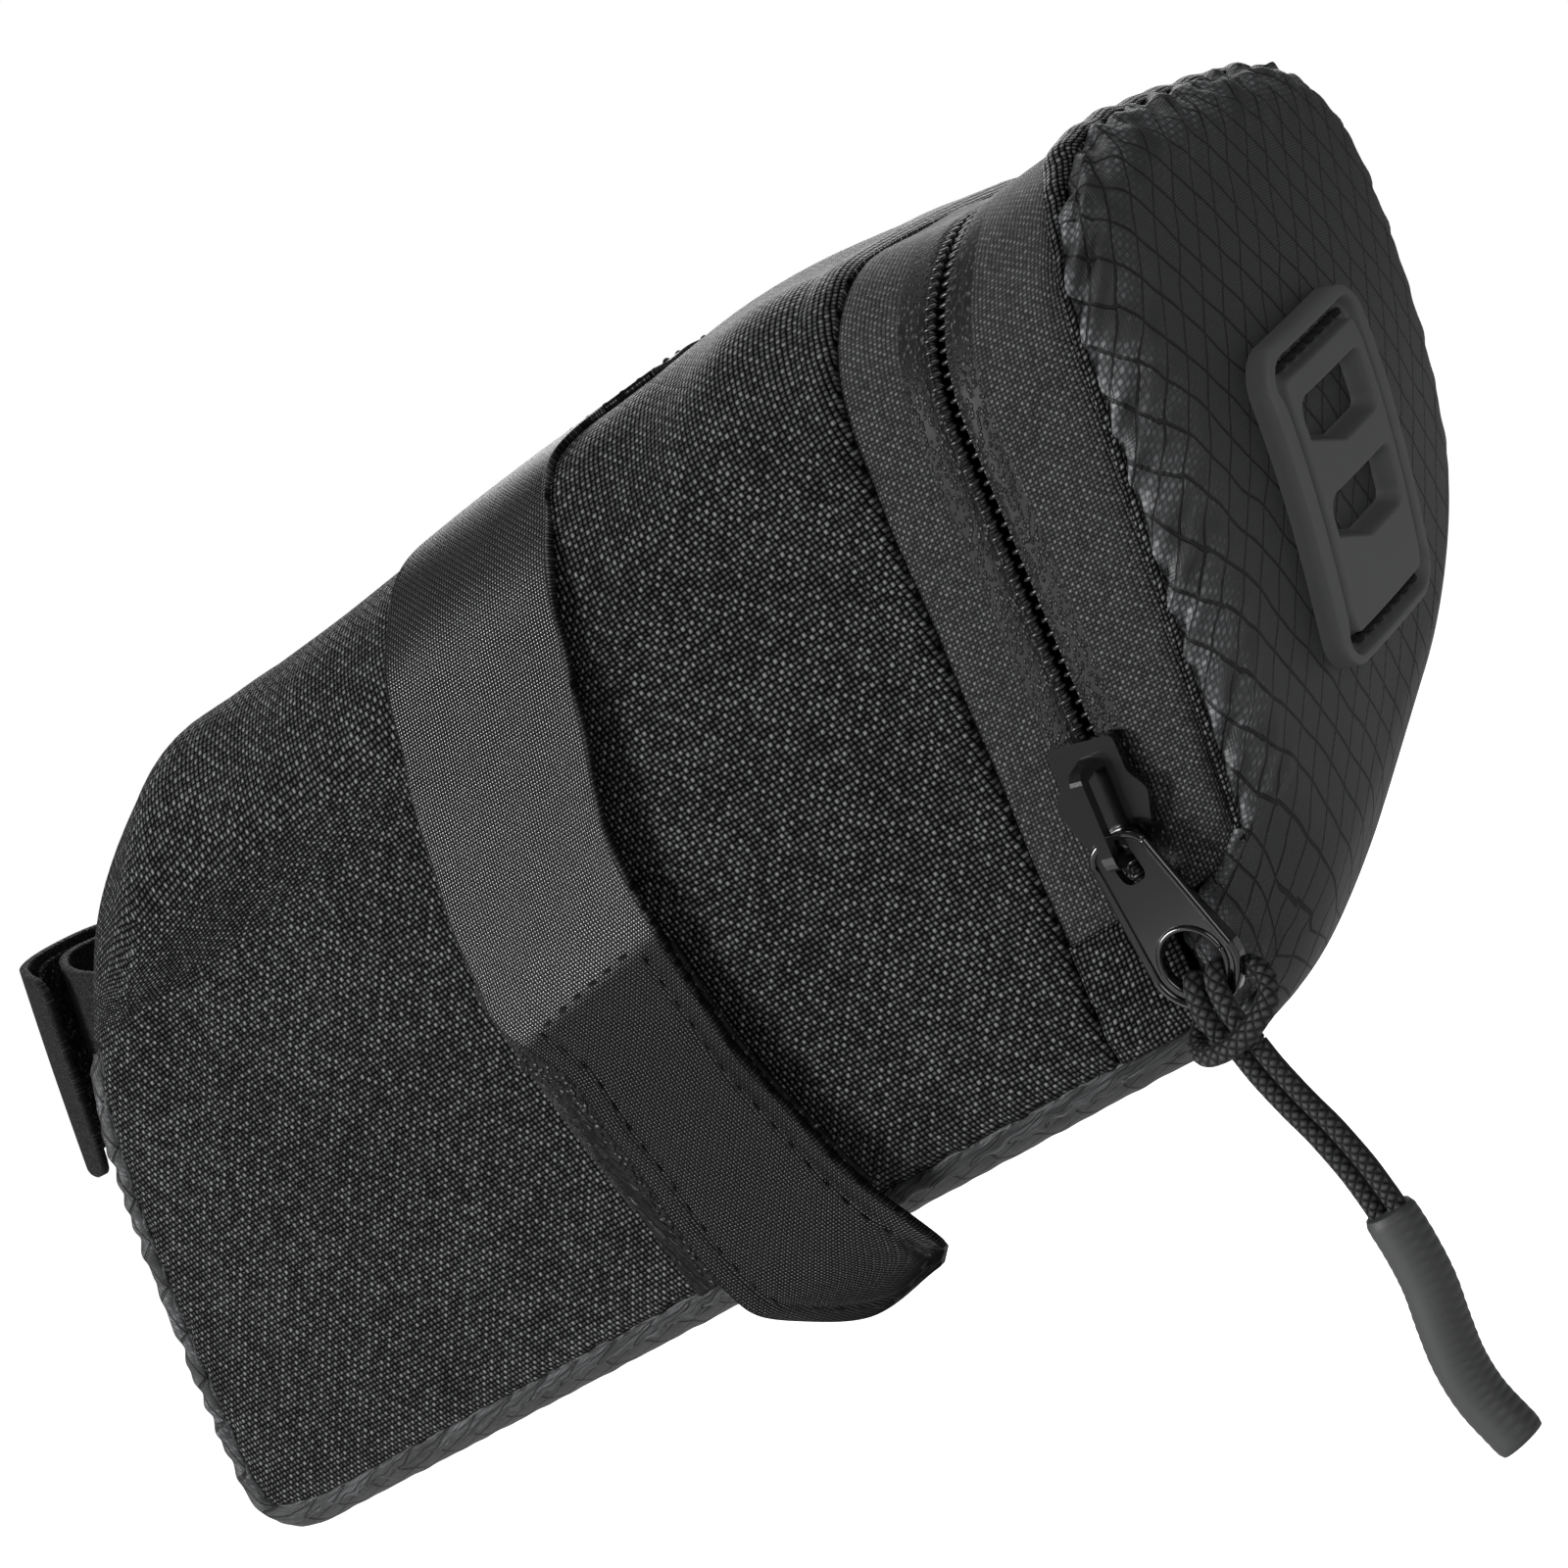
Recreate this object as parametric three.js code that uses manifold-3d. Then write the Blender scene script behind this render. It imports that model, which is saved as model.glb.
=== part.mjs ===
// Saddle bag with a zipped rear lid, two saddle straps and a seatpost strap.
// Millimetres, +Z up. +X points to the rear (lid), -X to the seatpost, -Y is the slider's side.
// The origin is the middle of the flat top of the strap anchor, which lies under the saddle.
import * as THREE from 'three';
import { mergeVertices } from 'three/addons/utils/BufferGeometryUtils.js';
import Module from 'manifold-3d';

const wasm = await Module();
wasm.setup();

// ---- driving sizes -------------------------------------------------------------------------
const WIDTH = 66;             // bag, across Y
const BODY_HEIGHT = 84;       // bag, bottom panel to top panel
const FRONT_LENGTH = 104;     // origin to the front face, at mid height
const REAR_LENGTH = 58;       // origin to the rear face, at mid height
const FRONT_SLOPE = 0.43;     // rearward shift of the front face per mm of height
const REAR_SLOPE = 0.27;      // the same for the rear face
const ZIP_SLOPE = 0.245;      // the same for the zip
const LID_DEPTH = 18.6;       // zip centre to rear face, at mid height

const GAP = 0.3;              // clear space between neighbouring pieces
const FABRIC = 1.0;           // outer cloth with its coating
const FOAM = 2.0;             // padding sheet
const LINING = 0.5;           // inner cloth
const WEBBING = 1.2;          // strap thickness
const HOOK_PILE = 0.8;        // hook or loop layer

const TAPE_WIDTH = 11.4;      // visible width of one zip tape
const TAPE_THICK = 0.8;
const COIL_WIDTH = 2.2;
const COIL_THICK = 1.5;
const ZIP_CENTRE_GAP = 1.7;   // between the two coils, where the slider's post runs
const ZIP_END_HEIGHT = 16;    // zip's lower ends, above the bottom panel

const STRAP_WIDTH = 20.5;     // saddle strap
const STRAP_TAB_WIDTH = 25;   // hook tab at its end
const STRAP_TAB_LENGTH = 45;
const STRAP_OVERHANG = 7;     // tab tip, below the bag
const ANCHOR_REACH = 17;      // strap anchor, from the middle to each side

const POST_STRAP_WIDTH = 25.5;
const POST_STRAP_THICK = 1.1;

const PATCH_WIDTH = 23;       // rubber patch that a rear light clips to
const PATCH_HEIGHT = 33;
const PATCH_THICK = 2.4;
const SLOT_WIDTH = 14.5;
const SLOT_HEIGHT = 5.6;

const SLIDER_WIDTH = 10.2;
const SLIDER_LENGTH = 11.6;
const SLIDER_DROP = 9.6;      // slider centre, below mid height, with the zip closed
const TAB_LENGTH = 20;
const TAB_WIDTH = 10;
const TAB_THICK = 1.1;
const TAB_HOLE = 3.3;         // radius of the hole that the cord passes

const CORD = 2.0;             // pull cord diameter
const GRIP = 5.2;             // grip sleeve diameter
const GRIP_LENGTH = 25.5;

// ---- places worked out from them -----------------------------------------------------------
const TOP = -(WEBBING + GAP);                    // outer face of the top panel
const BOTTOM = TOP - BODY_HEIGHT;
const MID = (TOP + BOTTOM) / 2 - 4.5;            // height at which the lengths are measured
const SIDE = WIDTH / 2;                          // |Y| of the outer faces
const TOP_RADIUS = 15;
const BOTTOM_RADIUS = 9;
const ZIP_X = REAR_LENGTH - LID_DEPTH;
const FOAM_AT = FABRIC + GAP;                    // depth of the foam below the outer face
const LINING_AT = FOAM_AT + FOAM + GAP;
const INNER = LINING_AT + LINING;
const SEAM_Z = BOTTOM + 4;                       // seam between side and bottom panels
const WOVEN_FRONT_Z = TOP - 23;                  // woven cloth wraps the front down to here
const ZIP_END_Z = BOTTOM + ZIP_END_HEIGHT;
const HEMS_X = ZIP_X - TAPE_WIDTH - GAP / 2;     // where the body's panels end

const frontX = (z) => -FRONT_LENGTH + FRONT_SLOPE * (z - MID);
const zipX = (z) => ZIP_X + ZIP_SLOPE * (z - MID);
const rearX = (z) => REAR_LENGTH + REAR_SLOPE * (z - MID);

// ---- finishes ------------------------------------------------------------------------------
const finish = (color, roughness, metalness = 0) =>
  new THREE.MeshStandardMaterial({ color, roughness, metalness });
const woven = () => finish(0x17181a, 0.85);
const ripstop = () => finish(0x2c2e31, 0.6);
const tapeCloth = () => finish(0x1a1b1d, 0.8);
const lining = () => finish(0x3a3c40, 0.7);
const foam = () => finish(0x55575a, 0.95);
const webbing = () => finish(0x202124, 0.5);
const pile = () => finish(0x121314, 0.95);
const rubber = () => finish(0x3b3d40, 0.75);
const blackMetal = () => finish(0x0b0b0c, 0.2, 0.6);
const cordYarn = () => finish(0x18191b, 0.7);

// ---- solids --------------------------------------------------------------------------------
function toManifold(geometry) {
  const bare = geometry.clone();
  bare.deleteAttribute('normal');
  bare.deleteAttribute('uv');
  const merged = mergeVertices(bare, 1e-4);
  const vertProperties = new Float32Array(merged.attributes.position.array);
  const triVerts = new Uint32Array(merged.index.array);
  return new wasm.Manifold(new wasm.Mesh({ numProp: 3, vertProperties, triVerts }));
}

function toGeometry(solid) {
  const mesh = solid.getMesh();
  const geometry = new THREE.BufferGeometry();
  geometry.setAttribute('position', new THREE.BufferAttribute(mesh.vertProperties, 3));
  geometry.setIndex(new THREE.BufferAttribute(mesh.triVerts, 1));
  geometry.computeVertexNormals();
  return geometry;
}

// Moves every vertex of a geometry through a function of its position.
function reshape(geometry, move) {
  const position = geometry.attributes.position;
  const point = new THREE.Vector3();
  for (let i = 0; i < position.count; i += 1) {
    move(point.fromBufferAttribute(position, i));
    position.setXYZ(i, point.x, point.y, point.z);
  }
  return geometry;
}

function extrude(shape, depth, curveSegments) {
  return new THREE.ExtrudeGeometry(shape, { depth, steps: 1, curveSegments, bevelEnabled: false });
}

// A shape drawn in X and Z, carried along Y between two values.
function prismAlongY(shape, fromY, toY, curveSegments = 8) {
  const geometry = extrude(shape, toY - fromY, curveSegments);
  return geometry.rotateX(Math.PI / 2).translate(0, toY, 0);
}

// A shape drawn in Y and Z, carried along X between two values.
function prismAlongX(shape, fromX, toX, curveSegments = 8) {
  const turn = new THREE.Matrix4().makeBasis(
    new THREE.Vector3(0, 1, 0), new THREE.Vector3(0, 0, 1), new THREE.Vector3(1, 0, 0));
  return extrude(shape, toX - fromX, curveSegments).applyMatrix4(turn).translate(fromX, 0, 0);
}

// A closed outline through corner points, each corner rounded by its own radius.
function roundedOutline(corners, radii) {
  const shape = new THREE.Shape();
  corners.forEach((corner, i) => {
    const before = corners[(i + corners.length - 1) % corners.length];
    const after = corners[(i + 1) % corners.length];
    const back = before.clone().sub(corner).normalize();
    const forth = after.clone().sub(corner).normalize();
    const halfAngle = Math.acos(THREE.MathUtils.clamp(back.dot(forth), -1, 1)) / 2;
    const reach = radii[i] / Math.tan(halfAngle);
    const start = corner.clone().addScaledVector(back, reach);
    const end = corner.clone().addScaledVector(forth, reach);
    if (i === 0) shape.moveTo(start.x, start.y);
    else shape.lineTo(start.x, start.y);
    if (radii[i] > 0) shape.quadraticCurveTo(corner.x, corner.y, end.x, end.y);
  });
  shape.closePath();
  return shape;
}

const at = (x, y) => new THREE.Vector2(x, y);

function roundedRectangle(x0, y0, x1, y1, radius) {
  return roundedOutline([at(x0, y0), at(x1, y0), at(x1, y1), at(x0, y1)], Array(4).fill(radius));
}

// A box between two planes that lean like the zip, tall and wide enough to cut the whole bag.
function leaningSlab(fromX, toX, fromZ = BOTTOM - 60, toZ = TOP + 60, slope = ZIP_SLOPE) {
  const box = new THREE.BoxGeometry(toX - fromX, 4 * WIDTH, toZ - fromZ);
  box.translate((fromX + toX) / 2, 0, (fromZ + toZ) / 2);
  return toManifold(reshape(box, (p) => { p.x += slope * (p.z - MID); }));
}

function block(x0, x1, y0, y1, z0, z1) {
  const box = new THREE.BoxGeometry(x1 - x0, y1 - y0, z1 - z0);
  return toManifold(box.translate((x0 + x1) / 2, (y0 + y1) / 2, (z0 + z1) / 2));
}

// Everything on the slider's side of a plane of constant Y.
const leftOf = (y) => block(-300, 300, -4 * WIDTH, y, BOTTOM - 60, TOP + 60);

// The whole bag as one solid, with every face moved inwards by the inset.
// It is what three prisms share: the side profile, the cross-section and the plan.
const bagSolids = new Map();
function bagSolid(inset) {
  const key = inset.toFixed(3);
  if (!bagSolids.has(key)) bagSolids.set(key, makeBagSolid(inset));
  return bagSolids.get(key);
}

function makeBagSolid(inset) {
  const zTop = TOP - inset;
  const zBottom = BOTTOM + inset;
  const front = (z) => frontX(z) + inset * Math.hypot(1, FRONT_SLOPE);
  const rear = (z) => rearX(z) - inset * Math.hypot(1, REAR_SLOPE);
  const profile = roundedOutline(
    [at(front(zBottom), zBottom), at(rear(zBottom), zBottom), at(rear(zTop), zTop), at(front(zTop), zTop)],
    [9, 20, 7, 26].map((radius) => Math.max(radius - inset, 1)));
  const side = SIDE - inset;
  const section = roundedOutline(
    [at(-side, zBottom), at(side, zBottom), at(side, zTop), at(-side, zTop)],
    [BOTTOM_RADIUS, BOTTOM_RADIUS, TOP_RADIUS, TOP_RADIUS].map((radius) => Math.max(radius - inset, 1)));
  const span = toManifold(prismAlongX(section, -2 * FRONT_LENGTH, 2 * FRONT_LENGTH));
  const flank = toManifold(prismAlongY(profile, -WIDTH, WIDTH));
  return span.intersect(flank).intersect(planSolid(inset));
}

// The plan: crowned front and rear edges with rounded corners, leaning as those faces do.
function planSolid(inset) {
  const side = SIDE - inset;
  const x0 = -FRONT_LENGTH + inset * Math.hypot(1, FRONT_SLOPE);
  const x1 = REAR_LENGTH - inset * Math.hypot(1, REAR_SLOPE);
  const plan = new THREE.Shape();
  plan.moveTo(x0 + 9, -side);
  plan.lineTo(x1 - 9, -side);
  plan.quadraticCurveTo(x1 - 4, -side, x1 - 3, -side + 8);
  plan.quadraticCurveTo(x1, 0, x1 - 3, side - 8);
  plan.quadraticCurveTo(x1 - 4, side, x1 - 9, side);
  plan.lineTo(x0 + 9, side);
  plan.quadraticCurveTo(x0 + 3, side, x0 + 2, side - 8);
  plan.quadraticCurveTo(x0, 0, x0 + 2, -side + 8);
  plan.quadraticCurveTo(x0 + 3, -side, x0 + 9, -side);
  const height = TOP - BOTTOM + 40;
  const geometry = extrude(plan, height, 6).translate(0, 0, BOTTOM - 20);
  return toManifold(reshape(geometry, (p) => {
    const share = (p.x - x0) / (x1 - x0);
    const slope = FRONT_SLOPE + (REAR_SLOPE - FRONT_SLOPE) * share;
    p.x += slope * (p.z - MID);
  }));
}

// A sheet that follows the bag's surface, between two depths below it (negative is outside).
const sheet = (outerDepth, innerDepth) => bagSolid(outerDepth).subtract(bagSolid(innerDepth));

// A strap's edge-on outline: a polyline through the points, thickened evenly to both sides.
function ribbonOutline(points, thickness) {
  const line = points.map(([a, b]) => new THREE.Vector3(a, b, 0));
  const curve = new THREE.CatmullRomCurve3(line, false, 'centripetal');
  const count = points.length * 4;
  const left = [];
  const right = [];
  for (let i = 0; i <= count; i += 1) {
    const p = curve.getPoint(i / count);
    const t = curve.getTangent(i / count);
    const normal = at(-t.y, t.x).normalize().multiplyScalar(thickness / 2);
    left.push(at(p.x + normal.x, p.y + normal.y));
    right.push(at(p.x - normal.x, p.y - normal.y));
  }
  return new THREE.Shape([...left, ...right.reverse()]);
}

function mesh(name, solid, material) {
  const result = new THREE.Mesh(toGeometry(solid), material);
  result.name = name;
  return result;
}

const mirrored = (solid) => solid.mirror([0, 1, 0]);

// A left and a right copy of a solid that is modelled on the left (-Y).
function pair(name, solid, material) {
  return [mesh(`${name}_left`, solid, material()), mesh(`${name}_right`, mirrored(solid), material())];
}

// ---- body ----------------------------------------------------------------------------------
// Where the ripstop base shows: the lower front, and everything below the bottom seam.
function baseRegion(clearance) {
  const seamZ = SEAM_Z - clearance;
  const bottom = block(-300, 300, -WIDTH, WIDTH, BOTTOM - 60, seamZ);
  const inFront = leaningSlab(
    -300, -FRONT_LENGTH + 6 - clearance, BOTTOM - 60, WOVEN_FRONT_Z - clearance, FRONT_SLOPE);
  return bottom.add(inFront);
}

function bodyShell() {
  const beforeHems = leaningSlab(-300, HEMS_X);
  return mesh('body_shell', sheet(0, FABRIC).intersect(beforeHems).subtract(baseRegion(0)), woven());
}

function basePanel() {
  const beforeFold = leaningSlab(-300, ZIP_X - GAP / 2);
  return mesh('base_panel', sheet(0, FABRIC).intersect(baseRegion(GAP)).intersect(beforeFold), ripstop());
}

function bodyLining() {
  return mesh('body_lining', sheet(LINING_AT, INNER).intersect(leaningSlab(-300, HEMS_X - GAP)), lining());
}

// Padding sheets between cloth and lining, one for each face that is stiffened.
function bodyPadding() {
  const layer = sheet(FOAM_AT, FOAM_AT + FOAM).intersect(leaningSlab(-300, HEMS_X - GAP));
  const lowZ = BOTTOM + BOTTOM_RADIUS;
  const highZ = TOP - TOP_RADIUS;
  const across = SIDE - TOP_RADIUS;
  const behindFront = leaningSlab(-FRONT_LENGTH + 11, 300, lowZ, highZ, FRONT_SLOPE);
  const sideSheet = layer.intersect(behindFront).intersect(block(-300, 300, -WIDTH, 0, lowZ, highZ));
  const aboveBody = block(frontX(TOP) + 27, 300, -across, across, TOP - 8, TOP);
  const inset = SIDE - BOTTOM_RADIUS;
  const underBody = block(frontX(BOTTOM) + 12, 300, -inset, inset, BOTTOM, BOTTOM + 6);
  const onFront = leaningSlab(-300, -FRONT_LENGTH + 9, BOTTOM + 11, TOP - 28, FRONT_SLOPE)
    .intersect(block(-300, 300, -SIDE + 11, SIDE - 11, BOTTOM, TOP));
  return [
    ...pair('side_foam', sideSheet, foam),
    mesh('top_foam', layer.intersect(aboveBody), foam()),
    mesh('base_board', layer.intersect(underBody), finish(0x2a2a2c, 0.6)),
    mesh('front_foam', layer.intersect(onFront), foam()),
  ];
}

// The rolled seam along a side's front and bottom edges, a ridge on the base's own edge.
const SEAM_ROLL = 2.2;

function seamRoll() {
  const edge = baseRegion(0).subtract(baseRegion(SEAM_ROLL));
  const route = edge.intersect(leaningSlab(-300, ZIP_X - GAP)).intersect(leftOf(-(SIDE - 9)));
  return pair('seam_roll', sheet(-SEAM_ROLL * 0.7, -GAP / 2).intersect(route), ripstop);
}

// ---- zip -----------------------------------------------------------------------------------
const COIL_EDGE = ZIP_CENTRE_GAP / 2;

function zipHalf(side) {
  const aboveEnds = block(-300, 300, -WIDTH, WIDTH, ZIP_END_Z, TOP + 10);
  const slice = (a, b) => (side < 0 ? leaningSlab(ZIP_X - b, ZIP_X - a) : leaningSlab(ZIP_X + a, ZIP_X + b));
  const suffix = side < 0 ? 'body' : 'lid';
  const tape = sheet(0, TAPE_THICK).intersect(slice(COIL_EDGE, TAPE_WIDTH - GAP / 2)).intersect(aboveEnds);
  const coilTop = TAPE_THICK + GAP;
  const coil = sheet(coilTop, coilTop + COIL_THICK)
    .intersect(slice(COIL_EDGE, COIL_EDGE + COIL_WIDTH)).intersect(aboveEnds);
  return [
    mesh(`zip_tape_${suffix}`, tape, tapeCloth()),
    mesh(`zip_coil_${suffix}`, coil, finish(0x0d0d0e, 0.4)),
  ];
}

// Woven cloth that closes the zip's lower ends on each side.
function endTabs() {
  const region = leaningSlab(HEMS_X + GAP, ZIP_X - GAP / 2, SEAM_Z + GAP, ZIP_END_Z - GAP);
  return pair('zip_end_tab', sheet(0, FABRIC).intersect(region).intersect(leftOf(0)), woven);
}

// A metal stop across both coils, below the slider's closed place.
function endStops() {
  const height = 1.6;
  const depth = TAPE_THICK + COIL_THICK + 3 * GAP;
  const region = leaningSlab(ZIP_X - COIL_EDGE - COIL_WIDTH, ZIP_X - GAP / 2, ZIP_END_Z, ZIP_END_Z + height);
  return pair('zip_end_stop', sheet(depth, depth + 0.8).intersect(region).intersect(leftOf(0)), blackMetal);
}

// ---- lid -----------------------------------------------------------------------------------
const LID_EDGE_X = ZIP_X + TAPE_WIDTH + GAP / 2;

function rearPanel() {
  const main = leaningSlab(LID_EDGE_X, 300, ZIP_END_Z - GAP, TOP + 20);
  const foot = leaningSlab(ZIP_X + GAP / 2, 300, BOTTOM - 20, ZIP_END_Z - GAP);
  return mesh('rear_panel', sheet(0, FABRIC).intersect(main.add(foot)), ripstop());
}

function lidInside() {
  const behindTape = leaningSlab(LID_EDGE_X + GAP, 300);
  const flat = block(0, 300, -SIDE + 12, SIDE - 12, BOTTOM + 21, TOP - 9);
  const padding = sheet(FOAM_AT, FOAM_AT + FOAM).intersect(leaningSlab(ZIP_X + 12, 300)).intersect(flat);
  const cloth = sheet(LINING_AT, INNER).intersect(behindTape);
  return [mesh('lid_foam', padding, foam()), mesh('lid_lining', cloth, lining())];
}

// The rubber patch with its two slots for the clip of a rear light.
function lightPatch() {
  const middle = MID;
  const half = PATCH_HEIGHT / 2;
  const outline = roundedRectangle(-PATCH_WIDTH / 2, middle - half, PATCH_WIDTH / 2, middle + half, 4);
  const slotTop = middle + half - 6.2;
  const slotPitch = SLOT_HEIGHT + 4.2;
  for (const top of [slotTop, slotTop - slotPitch]) {
    outline.holes.push(roundedRectangle(-SLOT_WIDTH / 2, top - SLOT_HEIGHT, SLOT_WIDTH / 2, top, 1.6));
  }
  const punch = toManifold(prismAlongX(outline, ZIP_X, 300, 5));
  return mesh('light_clip_patch', sheet(-GAP - PATCH_THICK, -GAP).intersect(punch), rubber());
}

// ---- slider, pull tab and cord -------------------------------------------------------------
// They are drawn on the left side, in a frame whose X runs across the zip, whose Z runs up
// along it, and whose Y = 0 is the tape's outer face.
const ZIP_LEAN = Math.atan(ZIP_SLOPE);
const SLIDER_REST = 8.3;        // least height of the slider's centre above the zip's end
const SLIDER_Z = Math.max(MID - SLIDER_DROP, ZIP_END_Z + SLIDER_REST);
const PLATE = 1.2;
const BRIDGE_RISE = 3.2;
const BRIDGE_BAR = 1.3;
const HINGE_DROP = 3.7;       // tab's pivot, below the slider's centre
const HINGE_OUT = GAP + PLATE + (BRIDGE_RISE - BRIDGE_BAR) / 2;
const CORD_OUT = 1.0;         // the cord's plane, outside the tab's

function sliderBody() {
  const half = SLIDER_WIDTH / 2;
  const tall = SLIDER_LENGTH / 2;
  const shield = roundedOutline([
    at(-half * 0.72, tall), at(-half * 0.72, tall * 0.35), at(-half, 0), at(-half * 0.8, -tall * 0.55),
    at(-half * 0.55, -tall), at(half * 0.55, -tall), at(half * 0.8, -tall * 0.55), at(half, 0),
    at(half * 0.72, tall * 0.35), at(half * 0.72, tall)], [0.8, 0.8, 1.2, 0.8, 1, 1, 0.8, 1.2, 0.8, 0.8]);
  const depth = TAPE_THICK + COIL_THICK + 2 * GAP;
  const outer = toManifold(prismAlongY(shield, -GAP - PLATE, -GAP, 3));
  const inner = toManifold(prismAlongY(shield, depth, depth + PLATE * 0.8, 3));
  const postWide = ZIP_CENTRE_GAP - 2 * GAP;
  const post = block(-postWide / 2, postWide / 2, -GAP - 0.2, depth + 0.2, -1.5, 3.5);
  return outer.add(inner).add(post).add(bridge());
}

// The arched bar on the outer plate that holds the pull tab.
function bridge() {
  const arch = new THREE.Shape();
  const base = -(GAP + PLATE - 0.2);
  const top = -(GAP + PLATE + BRIDGE_RISE);
  arch.moveTo(base, 4.2);
  arch.lineTo(top + 1, 3.8);
  arch.quadraticCurveTo(top, 3.6, top, 2.6);
  arch.lineTo(top, -4.8);
  arch.quadraticCurveTo(top, -6.4, top + 1, -6.4);
  arch.lineTo(base, -6.4);
  arch.lineTo(base, -6.4 + BRIDGE_BAR);
  arch.lineTo(top + BRIDGE_BAR, -6.4 + BRIDGE_BAR);
  arch.lineTo(top + BRIDGE_BAR, 4.2 - BRIDGE_BAR - 0.4);
  arch.lineTo(base, 4.2 - BRIDGE_BAR);
  arch.closePath();
  return toManifold(prismAlongX(arch, -BRIDGE_BAR / 2, BRIDGE_BAR / 2, 4));
}

// The pull tab hangs from its pivot at the origin of its own frame.
function pullTab() {
  const bottom = -TAB_LENGTH + 1.4;
  const half = TAB_WIDTH / 2;
  const outline = new THREE.Shape();
  outline.moveTo(-2.6, -0.6);
  outline.quadraticCurveTo(-2.4, 0.6, 0, 0.6);
  outline.quadraticCurveTo(2.4, 0.6, 2.6, -0.6);
  outline.lineTo(half, bottom + half);
  outline.absarc(0, bottom + half, half, 0, -Math.PI, true);
  outline.closePath();
  outline.holes.push(roundedRectangle(-1.4, -4.6, 1.4, -0.6, 1.2));
  outline.holes.push(new THREE.Path().absarc(0, bottom + half, TAB_HOLE, 0, 2 * Math.PI, false));
  return toManifold(prismAlongY(outline, -TAB_THICK / 2, TAB_THICK / 2, 6));
}

// Turns the slider's frame into the bag's: on the left face, leaning with the zip.
function onZip(solid) {
  const turned = solid.rotate([0, THREE.MathUtils.radToDeg(ZIP_LEAN), 0]);
  return turned.translate([zipX(SLIDER_Z), -SIDE, SLIDER_Z]);
}

const HINGE = [zipX(SLIDER_Z - HINGE_DROP), -SIDE - HINGE_OUT, SLIDER_Z - HINGE_DROP];
const HOLE_Z = HINGE[2] - TAB_LENGTH + 1.4 + TAB_WIDTH / 2;

function slider() {
  const tab = pullTab().translate(HINGE);
  return [mesh('slider', onZip(sliderBody()), blackMetal()), mesh('pull_tab', tab, blackMetal())];
}

function tube(route, diameter, steps) {
  const round = new THREE.Shape().absarc(0, 0, diameter / 2, 0, 2 * Math.PI, false);
  const path = new THREE.CatmullRomCurve3(route.map(([x, y, z]) => new THREE.Vector3(x, y, z)));
  return new THREE.ExtrudeGeometry(round, {
    extrudePath: path, steps, curveSegments: 4, bevelEnabled: false,
  });
}

// The cord's knot at the tab, its two strands, and the sleeve that grips their ends.
// Each list runs downwards; X, Y and Z are measured from the middle of the tab's hole.
const KNOT_DROP = 7.2;
const CORD_ROUTE = [
  [0, 0, -9.6], [0.2, 0, -12], [0.6, 0, -14.5], [1.1, 0, -17], [1.7, 0, -19.5],
  [2.1, 0, -22], [2.4, 0, -24.5], [2.5, 0, -27], [2.5, 0, -29],
];
const GRIP_ROUTE = [
  [2.5, 0, 0], [2.3, 0, -4], [1.7, 0, -8], [0.5, 0, -12], [-0.5, 0, -16], [-0.7, 0, -20], [0, 0, -24], [0.3, 0, -25.5],
];

function pullCord() {
  const centre = [HINGE[0], HINGE[1] - CORD_OUT, HOLE_Z];
  const place = (points, dx = 0, dz = 0) =>
    points.map(([x, y, z]) => [centre[0] + x + dx, centre[1] + y, centre[2] + z + dz]);
  const offset = (CORD + GAP) / 2;
  const strand = (dx) => toManifold(tube(place(CORD_ROUTE, dx), CORD, 16));
  const knot = toManifold(new THREE.BoxGeometry(7, 3, 3)).translate([centre[0], centre[1], centre[2] - KNOT_DROP]);
  const gripTop = CORD_ROUTE[CORD_ROUTE.length - 1][2] - GAP;
  const stretch = GRIP_LENGTH / 25.5;
  const gripRoute = GRIP_ROUTE.map(([x, y, z]) => [x, y, z * stretch]);
  const grip = toManifold(tube(place(gripRoute, 0, gripTop), GRIP, 18));
  return [
    mesh('cord_knot', knot, cordYarn()),
    mesh('cord_strand_front', strand(-offset), cordYarn()),
    mesh('cord_strand_rear', strand(offset), cordYarn()),
    mesh('cord_grip', grip, finish(0x3d3f42, 0.6)),
  ];
}

// ---- saddle straps -------------------------------------------------------------------------
// Forward drift of a strap's middle line as it comes down the side: [height, X].
const STRAP_LAY = [
  [3, -1], [-2, -5], [-9, -12.5], [-20, -20.5], [-32, -26], [-44, -30.5],
  [-56, -31.5], [-68, -30.5], [-80, -27.5], [-94, -22.5],
];

function strapX(z) {
  const last = STRAP_LAY.length - 1;
  const i = THREE.MathUtils.clamp(STRAP_LAY.findIndex(([height]) => height < z), 1, last);
  const [zA, xA] = STRAP_LAY[i - 1];
  const [zB, xB] = STRAP_LAY[i];
  return xA + (xB - xA) * THREE.MathUtils.clamp((zA - z) / (zA - zB), 0, 1);
}

// A band that hangs along the left side, from its profile in Y and Z, its width and its ends.
function hangingBand(profile, thickness, width, dx = 0) {
  const geometry = prismAlongX(ribbonOutline(profile, thickness), -width / 2, width / 2, 1);
  return reshape(geometry, (p) => { p.x += strapX(p.z) + dx; });
}

const STRAP_TIP_Z = BOTTOM - STRAP_OVERHANG;
const TAB_TOP_Z = STRAP_TIP_Z + STRAP_TAB_LENGTH;
const HOOK_Y = -(SIDE + GAP + HOOK_PILE + GAP + HOOK_PILE / 2);       // middle of the hook layer
const STRAP_TAB_Y = HOOK_Y - HOOK_PILE / 2 - GAP - WEBBING / 2;       // middle of the strap over it

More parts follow.
